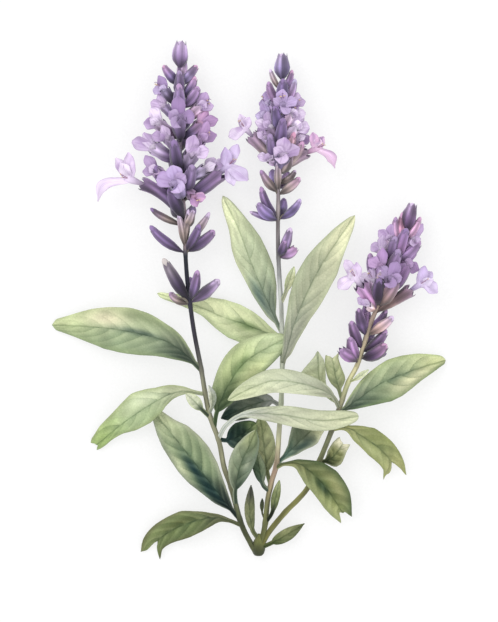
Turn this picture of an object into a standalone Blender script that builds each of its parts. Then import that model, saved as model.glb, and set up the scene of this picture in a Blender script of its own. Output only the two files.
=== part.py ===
"""Sage bunch: three flowering stems of garden sage that meet in one crown, laid on a surface.

The design values are millimetres in the bunch's own frame; the meshes are built in metres.
+Y runs from the crown to the flower tips, +X to the right, +Z up from the surface.
The origin lies under the crown, on the flat spot that the crown rests on.
"""
import math
from typing import NamedTuple

import bmesh
import bpy
import numpy as np

MM = 0.001

# Driving dimensions, in millimetres.
STEM_RADIUS = 1.5          # each stem, at the crown
STEM_TIP_RADIUS = 0.9      # the axis of a spike, at its top
CROWN_RADIUS = 3.9         # the knob in which the stems meet
BLADE_THICKNESS = 0.8      # a leaf's blade
RIB_THICKNESS = 1.5        # a leaf along its midrib and petiole
PETIOLE_WIDTH = 2.4
TIP_WIDTH = 1.0            # a blade ends in a point this wide
PETAL_THICKNESS = 0.7
GAP = 0.3                  # between pieces that touch on the real plant

# Colours, linear, with roughness.
FINISHES = {
    "stem": ((0.075, 0.085, 0.045), 0.6),
    "leaf": ((0.25, 0.34, 0.14), 0.7),
    "calyx": ((0.10, 0.05, 0.16), 0.6),
    "petal": ((0.50, 0.36, 0.62), 0.55),
}

# The stems' centrelines from the crown up, each as (x, y, z).
LEFT_STEM = [
    (-0.8, -1.2, 3.4), (-3.8, 4.0, 4.4), (-9.4, 16.0, 6.6), (-14.9, 36.3, 9.6), (-18.7, 47.3, 11.0),
    (-21.5, 61.6, 12.2), (-27.0, 77.6, 13.0), (-31.4, 102.3, 13.2), (-35.0, 121.0, 13.2),
    (-37.3, 137.0, 13.2), (-39.0, 152.0, 13.2), (-39.9, 166.0, 13.0), (-40.2, 183.0, 12.6),
    (-41.5, 198.0, 12.4), (-42.6, 215.0, 12.2), (-42.8, 238.0, 11.6), (-43.2, 262.0, 10.8),
    (-42.6, 273.0, 10.4),
]
MIDDLE_STEM = [
    (0.4, -1.4, 3.4), (1.6, 4.0, 4.3), (3.9, 14.5, 6.2), (5.4, 28.6, 8.2), (7.5, 39.0, 9.8),
    (10.3, 49.5, 11.2), (11.6, 67.0, 12.4), (12.8, 84.0, 12.8), (13.4, 104.0, 13.0),
    (13.2, 121.6, 13.2), (12.7, 137.0, 13.2), (11.6, 154.6, 13.2), (11.0, 170.0, 13.0),
    (11.0, 184.0, 12.6), (11.2, 200.0, 12.2), (11.4, 216.0, 12.0), (12.6, 236.0, 11.4),
    (13.2, 256.0, 10.6), (13.4, 266.0, 10.2),
]
RIGHT_STEM = [
    (1.6, 2.5, 4.0), (6.0, 10.5, 5.4), (15.0, 21.8, 7.2), (22.2, 29.2, 8.6), (27.9, 36.5, 9.6),
    (34.1, 51.2, 11.2), (40.7, 67.9, 12.4), (45.7, 82.5, 13.0), (49.6, 94.0, 13.2),
    (54.5, 103.4, 13.2), (59.0, 117.0, 13.0), (62.6, 128.0, 12.6), (67.2, 139.0, 12.4),
    (71.3, 152.0, 12.2), (75.8, 161.0, 11.8), (79.6, 170.0, 11.2), (82.6, 181.0, 10.6),
]
# How far up each stem the spike starts, as y; the spike's own piece carries on from there.
SPIKE_START = {"left": 131.0, "middle": 156.0, "right": 103.0}


class Leaf(NamedTuple):
    """One leaf: its midrib from the stem to the tip, and the form of its blade."""

    name: str
    midrib: tuple            # points (x, y, z)
    width: float             # greatest width of the blade
    widest: float = 0.5      # where that is, along the blade
    base: float = 1.7        # greater is slimmer towards the stem
    point: float = 1.7       # greater is slimmer towards the tip
    petiole: float = 0.1     # share of the length that is bare petiole
    fold: float = 0.12       # how far the margins rise, as a share of the half width
    waves: float = 2.5       # waves of the margin along the blade
    wave_height: float = 0.8
    phase: float = 0.0
    cleft: tuple = (0.0, 0.0)    # a cleft tip: its depth and its width, as shares
    left: tuple = ()         # where the sides differ: half widths at SIDE_SHARES of the length
    right: tuple = ()


# Shares of a leaf's length at which the widths of its two sides are given.
SIDE_SHARES = (0.0, 0.06, 0.14, 0.25, 0.37, 0.5, 0.62, 0.74, 0.85, 0.93, 0.98, 1.0)


LEAVES = (
    # the left stem
    Leaf("leaf_left_long", ((-31.4, 101, 13.2), (-41, 110.5, 15), (-53, 117.5, 14.5),
                            (-76, 122.6, 9.5), (-96, 124.6, 4), (-114.6, 125.4, 0.4)),
         25, widest=0.52, base=1.7, point=2.6, petiole=0.02, fold=0.14, waves=2.0,
         wave_height=1.0,
         left=(1.2, 3.8, 6.8, 9.4, 11.2, 11.8, 11.6, 8.8, 5.9, 3.9, 2.8, 0.6),
         right=(1.2, 3.0, 5.6, 8.8, 11.8, 13.2, 12.3, 9.8, 6.6, 4.4, 3.2, 0.6)),
    Leaf("leaf_left_drooping", ((-29.2, 87.5, 13), (-42, 89, 14.5), (-53, 85.2, 13.5),
                                (-72, 73.0, 8), (-91, 57.5, 0.6)),
         19.5, widest=0.52, base=2.2, point=1.6, petiole=0.14, fold=0.1, waves=3.0, phase=1.0,
         cleft=(0.04, 0.25),
         left=(1.1, 0.9, 2.0, 3.4, 6.6, 8.6, 7.3, 4.4, 3.2, 3.2, 2.8, 2.0),
         right=(1.1, 1.4, 3.0, 5.4, 8.3, 10.5, 9.2, 7.7, 7.0, 5.2, 4.4, 2.6)),
    Leaf("leaflet_left_axil", ((-26.6, 75, 13), (-31, 79.5, 16), (-35, 84, 18), (-39.5, 88, 18.5)),
         6.5, fold=0.2, waves=1.0, wave_height=0.3),
    Leaf("leaflet_left_inner", ((-26.8, 77, 13), (-25.2, 81, 17), (-25.0, 87, 19),
                                (-27.0, 92.5, 19.5)),
         4.2, fold=0.2, waves=1.0, wave_height=0.2),
    Leaf("leaf_low_left", ((-10.4, 18.5, 7), (-22.2, 33.2, 11.2), (-34, 48.5, 11.5),
                           (-45, 62, 8), (-57.6, 77.0, 4)),
         21, widest=0.5, base=1.45, point=1.7, petiole=0.03, fold=0.16, phase=0.6,
         wave_height=1.0,
         left=(1.2, 3.0, 5.3, 7.2, 9.2, 9.8, 9.5, 8.5, 6.2, 4.0, 2.6, 0.6),
         right=(1.2, 2.8, 4.6, 7.2, 10.2, 11.5, 11.0, 9.6, 6.0, 4.4, 3.4, 0.6)),
    Leaf("leaf_base_left", ((-9.2, 14.5, 6.4), (-16, 17.6, 8.5), (-24, 19.2, 9.0),
                            (-34, 17.4, 8.0), (-47, 12.0, 5.0),
                            (-56.5, 4.6, 2.4), (-59.6, -3.0, 0.8)),
         13.5, widest=0.6, base=2.0, point=1.2, petiole=0.12, fold=0.1, waves=2.0, phase=2.0,
         cleft=(0.14, 0.85),
         left=(1.1, 1.2, 1.9, 4.7, 6.9, 7.5, 6.9, 5.7, 5.2, 5.2, 5.4, 5.6),
         right=(1.0, 1.0, 1.6, 2.6, 5.1, 7.8, 7.8, 7.8, 7.2, 6.4, 6.0, 6.0)),
    Leaf("leaf_centre_upright", ((-12.2, 26, 8.4), (-12.5, 35, 13.0), (-9.5, 49, 16.0),
                                 (-4.5, 60, 16.2), (-1.2, 68, 15.6)),
         13.5, widest=0.52, base=1.5, petiole=0.06, fold=0.18, waves=2.0, phase=0.5,
         wave_height=0.6),
    Leaf("leaf_centre_broad", ((-24.2, 68, 12.6), (-22.5, 78, 14.4), (-17, 91, 14.2),
                               (-6.0, 106, 14.8), (16.5, 119, 16.7)),
         21, widest=0.52, base=1.4, point=1.3, petiole=0.04, fold=0.06, waves=2.2, phase=0.4,
         wave_height=0.7),
    Leaf("leaf_cross_right", ((-21.8, 63, 12.4), (-17, 71, 17.0), (-7.0, 76.8, 19.4),
                              (12, 76.6, 20.4), (34, 73.4, 20.0), (55, 75.6, 18.2)),
         11.5, widest=0.62, base=2.0, point=1.1, fold=0.12, waves=3.0, wave_height=0.6),
    Leaf("leaf_curled_underside", ((-22.2, 63, 12.3), (-17, 62.0, 11.0), (-9, 65, 11.0),
                                   (-1.0, 71.5, 10.8)),
         14, widest=0.45, base=1.2, point=1.2, petiole=0.06, fold=-0.08, waves=1.5,
         wave_height=0.5),
    # the middle stem
    Leaf("leaf_behind_left", ((13.2, 119, 13.0), (4, 121.5, 8.2), (-8, 126, 5.6),
                              (-20, 130, 4.8), (-34, 136, 4.2), (-56, 143, 2.0)),
         21.5, widest=0.42, base=1.5, point=3.2, petiole=0.04, fold=0.08, phase=1.2,
         wave_height=0.7,
         left=(1.2, 4.0, 7.4, 10.4, 10.0, 6.6, 3.9, 3.0, 2.3, 2.2, 1.6, 0.5),
         right=(1.2, 3.0, 5.6, 8.2, 9.8, 9.4, 6.9, 4.4, 3.0, 1.6, 1.2, 0.5)),
    Leaf("leaf_upper_left", ((13.2, 121.5, 13.2), (8.5, 131, 10.4), (1.5, 147, 9.0),
                             (-5.0, 163, 8.0), (-10.5, 178, 6.6), (-19.5, 197, 5.0)),
         20, widest=0.48, base=1.6, point=1.6, petiole=0.04, fold=0.06, phase=0.9,
         wave_height=0.7,
         left=(1.2, 3.6, 4.6, 6.1, 6.9, 7.8, 7.4, 5.4, 4.2, 3.0, 1.5, 0.5),
         right=(1.0, 1.4, 4.5, 8.6, 10.6, 10.4, 9.8, 7.2, 5.0, 3.2, 1.6, 0.5)),
    Leaf("leaf_upper_right", ((13.4, 104.0, 13.0), (16, 113, 20.0), (21.5, 131, 20.4),
                              (34, 157, 15.5), (53.6, 186, 8.0)),
         20, widest=0.55, base=1.7, point=1.7, petiole=0.04, fold=0.1, phase=0.3,
         left=(1.2, 2.4, 3.6, 5.2, 8.0, 9.6, 9.2, 7.8, 5.5, 3.2, 1.7, 0.5),
         right=(1.2, 3.2, 4.2, 6.7, 8.9, 9.9, 10.0, 7.6, 5.1, 3.4, 1.4, 0.5)),
    Leaf("leaflet_upper_right", ((12.7, 137.5, 13.2), (15.0, 143, 15.5), (17.4, 150, 15.5),
                                 (19.8, 157.5, 14.6)),
         4.6, fold=0.2, waves=1.0, wave_height=0.3),
    Leaf("leaf_centre_back", ((6.8, 37.6, 9.6), (5.0, 45, 7.8), (3.4, 58, 7.0), (1.2, 75.5, 7.2)),
         12.5, base=1.4, petiole=0.06, fold=0.06, waves=1.5, wave_height=0.4),
    Leaf("leaflet_centre_dark", ((6.6, 33.5, 9.0), (2.8, 37.5, 10.8), (0.8, 46, 11.6),
                                 (-1.2, 56.5, 11.4)),
         7, fold=0.1, waves=1.0, wave_height=0.3),
    Leaf("leaf_hidden_back", ((12.4, 81, 12.8), (6, 83.5, 7.0), (-6, 80.0, 4.2),
                              (-20.5, 73.5, 3.6)),
         13, base=1.3, petiole=0.08, fold=0.06, waves=1.5, wave_height=0.4),
    Leaf("leaf_folded_back", ((10.2, 48.5, 11.2), (14.8, 53, 8.6), (24.5, 62.5, 7.4),
                              (38, 74.5, 7.0)),
         16, widest=0.58, base=1.5, point=1.2, petiole=0.06, fold=0.08, waves=1.5,
         wave_height=0.5,
         left=(1.1, 1.2, 1.8, 3.0, 5.8, 9.2, 10.6, 10.4, 8.6, 5.8, 3.0, 1.0),
         right=(1.1, 1.8, 2.7, 4.1, 5.1, 6.8, 7.4, 5.9, 4.6, 3.0, 1.6, 0.6)),
    Leaf("leaf_low_right", ((9.6, 46.5, 11.0), (14.5, 49.3, 15.0), (23, 49.3, 17.0),
                            (34.5, 39.5, 15.4), (42.5, 28.5, 11.5), (49, 17.5, 5.0)),
         17.5, widest=0.46, base=1.5, point=1.4, petiole=0.16, fold=0.1, waves=2.0, phase=0.8,
         cleft=(0.15, 0.45),
         left=(1.1, 0.9, 1.1, 3.9, 8.3, 10.4, 10.1, 9.2, 7.2, 5.2, 4.0, 3.4),
         right=(1.1, 1.1, 2.2, 4.6, 6.8, 7.0, 7.2, 7.2, 6.0, 4.6, 3.8, 3.4)),
    Leaf("leaflet_crown_upright", ((4.2, 16, 6.4), (7.8, 22, 9.8), (9.8, 31, 11.2),
                                   (11.8, 40, 11.6)),
         4.6, fold=0.15, waves=1.0, wave_height=0.2),
    Leaf("leaflet_crown_small", ((4.0, 17.5, 6.8), (2.5, 21, 7.4), (2.2, 25, 7.6),
                                 (2.4, 29.5, 7.6)),
         2.2, fold=0.15, waves=1.0, wave_height=0.1),
    # the right stem
    Leaf("leaf_right_long", ((43.6, 76.6, 12.8), (55, 84.8, 14.8), (68, 93.6, 14.2),
                             (88, 101.2, 8.4), (104.4, 105.7, 1.4)),
         22.5, widest=0.5, base=1.4, point=1.3, petiole=0.02, fold=0.12, waves=2.2, phase=0.7,
         wave_height=1.0,
         left=(1.2, 3.2, 5.5, 7.4, 8.8, 10.4, 10.0, 8.4, 6.0, 4.2, 2.6, 1.4),
         right=(1.2, 3.4, 5.6, 8.4, 10.9, 10.7, 8.9, 6.4, 4.2, 2.6, 1.8, 1.2)),
    Leaf("leaf_cross_left", ((45.0, 79.5, 13.0), (39.5, 87.5, 18.0), (26, 93.0, 21.0),
                             (9, 95.2, 21.4), (-4, 91, 21.0), (-16.5, 84.5, 20.0)),
         13, widest=0.5, base=1.5, point=1.4, petiole=0.05, fold=0.1, phase=1.6,
         wave_height=0.6),
    Leaf("leaf_axil_right_back", ((45.6, 82, 13.0), (39.4, 85.6, 8.6), (34.2, 94, 6.6),
                                  (33.1, 111, 6.2)),
         14, fold=0.06, waves=1.5, wave_height=0.4,
         left=(1.0, 1.0, 1.0, 1.4, 3.6, 8.4, 11.0, 7.4, 3.8, 1.6, 0.8, 0.4),
         right=(1.0, 1.0, 1.2, 1.8, 2.8, 3.4, 3.8, 3.8, 3.2, 1.4, 0.6, 0.3)),
    Leaf("leaf_axil_right_front", ((46.2, 84, 13.0), (44.4, 90.5, 12.8), (42.3, 99, 12.0),
                                   (40.6, 109.5, 10.8)),
         9.2, fold=0.15, waves=1.5, wave_height=0.4, phase=2.0, cleft=(0.09, 0.7),
         left=(1.0, 1.2, 2.2, 3.4, 4.2, 4.6, 4.6, 4.5, 4.2, 3.8, 3.4, 3.2),
         right=(1.0, 1.6, 3.2, 4.6, 4.8, 4.4, 4.0, 3.6, 3.2, 3.4, 3.9, 4.2)),
    Leaf("leaflet_right_axil", ((49.6, 94, 13.2), (53.5, 96.0, 17.2), (57, 98.6, 18.0),
                                (60.5, 101, 18.0)),
         3.0, fold=0.15, waves=1.0, wave_height=0.2),
    Leaf("leaf_right_drooping", ((40.7, 68.0, 12.4), (49, 69.0, 14.0), (58.0, 63.8, 13.4),
                                 (68.0, 56.4, 9.4), (74.6, 48.4, 5.4),
                                 (76.2, 41.0, 2.4)),
         13.5, widest=0.52, base=1.6, point=1.2, petiole=0.08, fold=0.1, waves=2.0, phase=0.2,
         cleft=(0.2, 0.9),
         left=(1.1, 1.0, 1.9, 5.2, 7.6, 7.6, 7.4, 6.8, 6.2, 6.2, 6.4, 6.4),
         right=(1.1, 1.6, 2.6, 4.6, 5.5, 6.7, 6.6, 6.2, 6.0, 6.2, 6.5, 6.6)),
    Leaf("leaf_low_right_curled", ((34.1, 50, 11.2), (38.2, 50.8, 9.6), (42.5, 53.8, 8.6),
                                   (48.0, 61.5, 8.0)),
         11.5, widest=0.55, base=1.3, point=1.1, petiole=0.06, fold=0.16, waves=1.0,
         wave_height=0.4, cleft=(0.12, 0.75),
         left=(1.1, 1.6, 2.6, 4.0, 4.6, 4.9, 5.0, 5.0, 4.6, 4.2, 3.8, 3.6),
         right=(1.1, 2.0, 3.8, 5.6, 6.0, 5.2, 4.6, 4.0, 3.8, 3.6, 3.5, 3.4)),
    # the crown
    Leaf("leaflet_crown_right", ((2.0, 2.0, 4.0), (8, 5.0, 6.0), (16, 9.2, 5.2), (25.9, 15.1, 3.0)),
         6.8, widest=0.42, base=1.3, point=1.9, fold=0.1, waves=1.5, wave_height=0.3),
    Leaf("leaflet_crown_left", ((-0.8, 8.5, 7.9), (-3.2, 13, 9.2), (-4.6, 23, 9.4),
                                (-3.8, 37, 8.8)),
         5.6, fold=0.15, waves=1.5, wave_height=0.3),
)


class Flower(NamedTuple):
    """One calyx on a spike's axis, closed as a bud, or with a hooded corolla in its mouth."""

    kind: str       # "bud", "hood" or "bloom"; a bloom's corolla is a piece of its own
    base: float     # y of the point on the axis that it grows from
    tip: tuple      # (x, y, z) that it reaches
    size: float = 1.0
    bend: float = 0.25      # how far it bows away from the axis before it turns up


SPIKES = {
    "left": (
        # the lower whorl of buds below the head
        Flower("bud", 138, (-52.0, 162.0, 16.0), 1.05, 0.05),
        Flower("bud", 137.5, (-21.2, 150.5, 14.0), 1.0, 0.1),
        Flower("bud", 139, (-33.0, 155.5, 18.0), 0.85, 0.1),
        Flower("bud", 137, (-48.6, 143.5, 9.5), 0.7),
        Flower("bud", 139, (-37.5, 152.0, 4.0), 0.8),
        # the upper one
        Flower("bud", 165, (-59.2, 180.0, 15.0), 0.85, 0.14),
        Flower("bud", 165.5, (-24.0, 177.5, 13.0), 1.0, 0.12),
        Flower("bud", 166, (-32.0, 180.5, 17.5), 0.85, 0.1),
        Flower("bud", 170, (-26.6, 187.5, 13.0), 0.65, 0.1),
        Flower("bud", 167, (-43.6, 187.0, 15.0), 0.6, 0.0),
        Flower("bud", 168, (-38.2, 189.0, 15.0), 0.55, 0.0),
        # the foot of the head, with the two large side flowers
        Flower("bud", 183, (-48.6, 200.5, 18.0), 1.1, 0.1),
        Flower("bud", 180, (-59.2, 189.8, 11.0), 0.65, 0.15),
        Flower("bud", 178, (-35.4, 188.5, 15.0), 0.75, 0.1),
        Flower("hood", 199, (-33.6, 191.0, 19.0), 0.95, 0.4),
        Flower("bud", 184, (-36.0, 191.0, 0.3), 0.9),
        Flower("bud", 185, (-47.5, 193.0, 0.3), 0.9),
        Flower("bloom", 182, (-65.5, 203.6, 15.0), 1.2, -0.22),
        Flower("bloom", 194, (-20.2, 209.4, 14.5), 1.45, 0.05),
        Flower("hood", 195, (-46.4, 210.5, 24.5), 1.5, 0.2),
        Flower("bud", 197, (-35.8, 213.0, 21.0), 1.15, 0.15),
        Flower("bud", 197, (-57.0, 213.5, 15.0), 1.1, 0.2),
        Flower("bud", 199, (-38.0, 209.0, 0.3), 1.0),
        Flower("bud", 198, (-50.0, 207.0, 0.3), 1.0),
        # the tiers above, each smaller than the last
        Flower("hood", 203, (-61.0, 217.5, 14.0), 1.1),
        Flower("hood", 205, (-24.6, 216.0, 15.0), 1.15),
        Flower("bud", 207, (-46.0, 226.5, 22.0), 1.15, 0.15),
        Flower("hood", 209, (-35.0, 227.5, 21.5), 1.25),
        Flower("bud", 210, (-48.0, 219.0, 0.3), 1.0),
        Flower("bud", 211, (-36.0, 221.0, 0.3), 1.0),
        Flower("hood", 216, (-62.0, 229.6, 14.0), 1.3),
        Flower("hood", 218, (-28.0, 236.0, 14.5), 1.1),
        Flower("hood", 221, (-52.0, 233.5, 18.0), 1.0),
        Flower("bud", 222, (-42.0, 234.0, 0.3), 1.0),
        Flower("hood", 226, (-43.4, 248.5, 21.0), 1.3, 0.15),
        Flower("hood", 228, (-58.2, 243.5, 13.0), 1.15),
        Flower("hood", 228, (-28.2, 243.0, 13.0), 1.1),
        Flower("bud", 233, (-38.0, 245.0, 0.3), 0.9),
        Flower("hood", 239, (-54.4, 252.0, 12.0), 0.9),
        Flower("hood", 238, (-28.8, 252.0, 13.0), 1.1),
        Flower("bud", 241, (-43.2, 257.5, 18.0), 1.05),
        Flower("bud", 243, (-47.0, 255.0, 0.3), 0.8),
        Flower("hood", 247, (-54.2, 261.5, 12.0), 1.0),
        Flower("bud", 245, (-33.0, 256.5, 14.0), 0.95),
        Flower("bud", 250, (-34.8, 262.5, 11.0), 0.85),
        Flower("bud", 251, (-43.2, 265.0, 15.0), 0.95),
        Flower("bud", 257, (-52.2, 268.5, 10.5), 0.85, 0.05),
        Flower("bud", 257, (-33.6, 268.5, 10.5), 0.85, 0.05),
        Flower("bud", 262, (-41.0, 272.0, 6.5), 0.9),
        Flower("bud", 266, (-42.4, 281.8, 10.5), 1.3, 0.0),
    ),
    "middle": (
        # buds on one side of the stem, then a whorl of them
        Flower("bud", 163, (17.9, 178.8, 16.0), 0.85, 0.1),
        Flower("bud", 162.5, (20.6, 168.0, 13.0), 0.95),
        Flower("bud", 163, (14.8, 171.5, 18.0), 0.75, 0.1),
        Flower("bud", 183, (1.6, 201.5, 13.0), 0.8, 0.18),
        Flower("bud", 183, (0.2, 192.5, 17.0), 0.95),
        Flower("bud", 182.5, (-4.6, 188.0, 9.0), 0.5, 0.1),
        Flower("bud", 183.5, (23.2, 194.8, 13.0), 0.75),
        Flower("bud", 184, (14.5, 196.0, 0.3), 0.9),
        Flower("bud", 183, (5.5, 194.0, 0.3), 0.8),
        Flower("bud", 198, (1.4, 210.5, 14.0), 0.72, 0.1),
        Flower("bud", 197, (23.0, 206.5, 14.0), 0.8, 0.1),
        Flower("bud", 199, (10.8, 216.0, 18.5), 0.62, 0.1),
        Flower("bud", 203, (20.6, 210.8, 10.5), 0.6),
        Flower("bud", 201, (8.0, 212.0, 0.3), 0.9),
        Flower("bud", 201, (16.5, 211.0, 0.3), 0.9),
        # the foot of the head, with the two large side flowers
        Flower("bloom", 213, (-4.0, 230.0, 14.0), 1.15, 0.0),
        Flower("bloom", 210, (27.6, 220.4, 13.5), 1.1, -0.1),
        Flower("hood", 210, (14.4, 226.0, 22.5), 1.35, 0.2),
        Flower("hood", 214, (5.4, 218.6, 18.0), 0.85, 0.4),
        Flower("bud", 208, (17.8, 220.0, 19.5), 1.05, 0.1),
        Flower("bud", 212, (24.6, 226.0, 16.5), 0.9),
        Flower("bud", 213, (6.4, 230.0, 19.0), 1.0, 0.2),
        Flower("bud", 215, (19.8, 231.0, 17.0), 0.85),
        Flower("bud", 214, (10.0, 224.0, 0.3), 0.9),
        # the tiers above
        Flower("hood", 221, (1.4, 234.5, 14.0), 1.05),
        Flower("hood", 221, (25.2, 234.0, 12.0), 0.9),
        Flower("bud", 221, (13.6, 238.5, 21.0), 1.1, 0.15),
        Flower("hood", 226, (5.4, 241.0, 17.0), 1.0),
        Flower("hood", 226, (23.4, 241.5, 14.5), 1.2),
        Flower("bud", 225, (14.5, 236.0, 0.3), 0.9),
        Flower("bud", 231, (9.4, 245.5, 19.0), 1.0, 0.15),
        Flower("hood", 232, (2.6, 247.5, 12.0), 0.9),
        Flower("hood", 233, (20.2, 247.5, 15.0), 1.05),
        Flower("hood", 237, (13.4, 253.0, 19.0), 1.1, 0.15),
        Flower("hood", 240, (4.8, 253.0, 11.0), 0.95),
        Flower("hood", 241, (21.6, 252.5, 11.0), 0.85),
        Flower("bud", 246, (5.8, 259.5, 11.0), 0.85),
        Flower("bud", 246, (13.8, 260.5, 15.5), 1.05),
        Flower("bud", 247, (20.4, 261.0, 11.0), 0.85),
        Flower("bud", 246, (14.0, 258.0, 0.3), 0.8),
        Flower("bud", 254, (6.6, 266.5, 10.0), 0.5, 0.1),
        Flower("bud", 254, (18.8, 266.0, 10.5), 0.65),
        Flower("bud", 259.5, (13.4, 275.0, 10.0), 1.3, 0.0),
    ),
    "right": (
        # the whorls of buds below the head
        Flower("bud", 105, (45.4, 112.3, 19.0), 1.0),
        Flower("bud", 105.5, (50.6, 119.0, 16.0), 0.95, 0.15),
        Flower("bud", 107, (70.8, 109.8, 11.0), 0.55, 0.1),
        Flower("bud", 107.5, (70.2, 115.2, 16.5), 1.15),
        Flower("bud", 111, (70.6, 123.0, 13.0), 0.95),
        Flower("bud", 112, (51.2, 127.8, 14.0), 0.9, 0.1),
        Flower("bud", 107, (53.0, 117.0, 6.0), 0.8),
        Flower("bud", 114, (64.5, 125.5, 0.3), 0.9),
        Flower("bud", 119, (55.4, 134.8, 13.0), 0.85, 0.1),
        Flower("bud", 120, (74.2, 130.2, 15.0), 0.9, 0.1),
        Flower("bud", 123, (71.0, 134.0, 10.5), 0.75),
        Flower("bud", 120, (60.8, 132.5, 9.0), 0.85),
        Flower("bud", 125, (60.5, 137.0, 0.3), 0.9),
        # the foot of the head, with the two large side flowers
        Flower("hood", 133, (59.4, 138.6, 17.5), 0.85, 0.3),
        Flower("bloom", 134, (55.8, 147.4, 18.5), 1.25, 0.0),
        Flower("bloom", 132, (84.6, 145.0, 13.5), 1.15, 0.0),
        Flower("bud", 136, (66.2, 151.0, 21.0), 1.15, 0.1),
        Flower("bud", 136, (76.4, 151.0, 20.0), 1.2, 0.15),
        Flower("bud", 135, (73.0, 145.5, 0.3), 0.9),
        # the tiers above
        Flower("hood", 140, (63.4, 157.0, 14.0), 1.05),
        Flower("bud", 141, (67.4, 157.0, 19.0), 0.75),
        Flower("hood", 143, (75.4, 158.6, 21.5), 1.2),
        Flower("bud", 143, (84.0, 161.5, 14.0), 1.15),
        Flower("bud", 146, (76.0, 156.0, 0.3), 0.9),
        Flower("bud", 147, (61.8, 165.0, 11.0), 0.95),
        Flower("hood", 147, (68.0, 166.5, 18.5), 1.1),
        Flower("hood", 151, (86.0, 168.0, 13.0), 1.15),
        Flower("bud", 151, (77.0, 167.0, 19.5), 1.1),
        Flower("hood", 156, (68.8, 173.8, 13.0), 1.0),
        Flower("bud", 158, (75.4, 174.0, 17.5), 1.0),
        Flower("bud", 160, (89.2, 172.0, 12.0), 1.05),
        Flower("hood", 162, (73.2, 179.8, 12.0), 0.95),
        Flower("bud", 163, (81.6, 178.5, 16.0), 1.1),
        Flower("hood", 165, (90.2, 180.4, 11.0), 0.8),
        Flower("bud", 163, (81.0, 173.0, 0.3), 0.8),
        Flower("bud", 169, (76.0, 185.0, 10.5), 0.75),
        Flower("bud", 171, (79.6, 187.5, 10.5), 0.65),
        Flower("bud", 172, (89.6, 185.0, 10.0), 0.75),
        Flower("bud", 176, (85.3, 192.6, 10.5), 1.25, 0.0),
    ),
}


class Bloom(NamedTuple):
    """A large open corolla: its throat, its upper lip's two points and its lower lip's end."""

    name: str
    spike: str
    mouth: tuple      # the calyx's mouth that it stands in
    upper: tuple      # the points of the upper lip
    lower: tuple      # the middle and the end of the lower lip
    side: tuple       # a point of the side lobe
    size: float = 1.0
    end_width: float = 3.4      # of the lower lip, which may end in a thin tail
    lip_width: float = 8.0      # of the lower lip, at its widest


BLOOMS = (
    Bloom("bloom_left_west", "left", (-65.5, 203.6, 15.0),
          ((-77.8, 216.8, 17.5), (-70.6, 219.6, 20.5)), ((-84.0, 202.0, 18.5), (-87.8, 193.2, 15.5)),
          (-75.0, 214.0, 21.5), 1.0, 1.2, 6.2),
    Bloom("bloom_left_east", "left", (-20.2, 209.4, 14.5),
          ((-11.0, 224.2, 18.5), (-18.0, 222.4, 21.0)), ((-11.0, 209.0, 19.5), (-5.6, 204.6, 16.5)),
          (-13.2, 201.6, 18.5)),
    Bloom("bloom_middle_west", "middle", (-4.0, 230.0, 14.0),
          ((-10.0, 240.8, 17.0), (-4.8, 239.0, 19.0)), ((-10.2, 231.2, 17.5), (-16.0, 228.4, 15.0)),
          (-7.6, 238.4, 19.5), 0.8),
    Bloom("bloom_middle_east", "middle", (27.6, 220.4, 13.5),
          ((36.0, 228.6, 16.5), (29.8, 230.6, 19.5)), ((39.4, 218.0, 17.0), (42.2, 211.4, 14.5)),
          (33.4, 227.8, 19.0), 0.85, 1.2, 6.2),
    Bloom("bloom_right_west", "right", (55.8, 147.4, 18.5),
          ((47.4, 161.0, 20.5), (53.6, 159.6, 23.0)), ((49.5, 150.0, 22.0), (43.6, 145.4, 20.0)),
          (48.8, 155.0, 24.0), 0.9),
    Bloom("bloom_right_east", "right", (84.6, 145.0, 13.5),
          ((95.4, 154.4, 16.5), (91.0, 157.8, 19.5)), ((92.4, 147.6, 18.0), (98.4, 143.2, 15.0)),
          (95.6, 150.2, 20.5), 0.85),
)


def unit(vector):
    """The vector at length 1."""
    return vector / np.linalg.norm(vector)


def smooth_curve(points, share):
    """Point at a share of the length of the Catmull-Rom curve through the points."""
    points = np.asarray(points, dtype=float)
    padded = np.vstack([2 * points[0] - points[1], points, 2 * points[-1] - points[-2]])
    chords = np.linalg.norm(np.diff(points, axis=0), axis=1)
    lengths = np.concatenate([[0.0], np.cumsum(chords)])
    place = min(max(share, 0.0), 1.0) * lengths[-1]
    span = min(int(np.searchsorted(lengths, place, side="right")) - 1, len(chords) - 1)
    t = (place - lengths[span]) / chords[span]
    a, b, c, d = padded[span:span + 4]
    return 0.5 * (2 * b + (c - a) * t + (2 * a - 5 * b + 4 * c - d) * t ** 2
                  + (3 * b - a - 3 * c + d) * t ** 3)


def sampled_curve(points, count):
    """Points along the smooth curve, count + 1 of them at even shares of its length."""
    return np.array([smooth_curve(points, i / count) for i in range(count + 1)])


def directions(path):
    """Unit tangents of a row of points."""
    return np.array([unit(tangent) for tangent in np.gradient(path, axis=0)])


def distance_to_line(point, line):
    """Distance from a point to a row of joined points."""
    starts, ends = line[:-1], line[1:]
    spans = ends - starts
    shares = np.clip(((point - starts) * spans).sum(1) / (spans ** 2).sum(1), 0, 1)
    return np.linalg.norm(point - (starts + spans * shares[:, None]), axis=1).min()


class Solid:
    """A closed mesh in the making: vertices in millimetres, and faces that point outwards."""

    def __init__(self):
        self.points = []
        self.faces = []

    def add(self, points, faces):
        """Take in more vertices, with faces that index them from 0."""
        first = len(self.points)
        self.points.extend(points)
        self.faces.extend([tuple(first + i for i in face) for face in faces])


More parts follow.
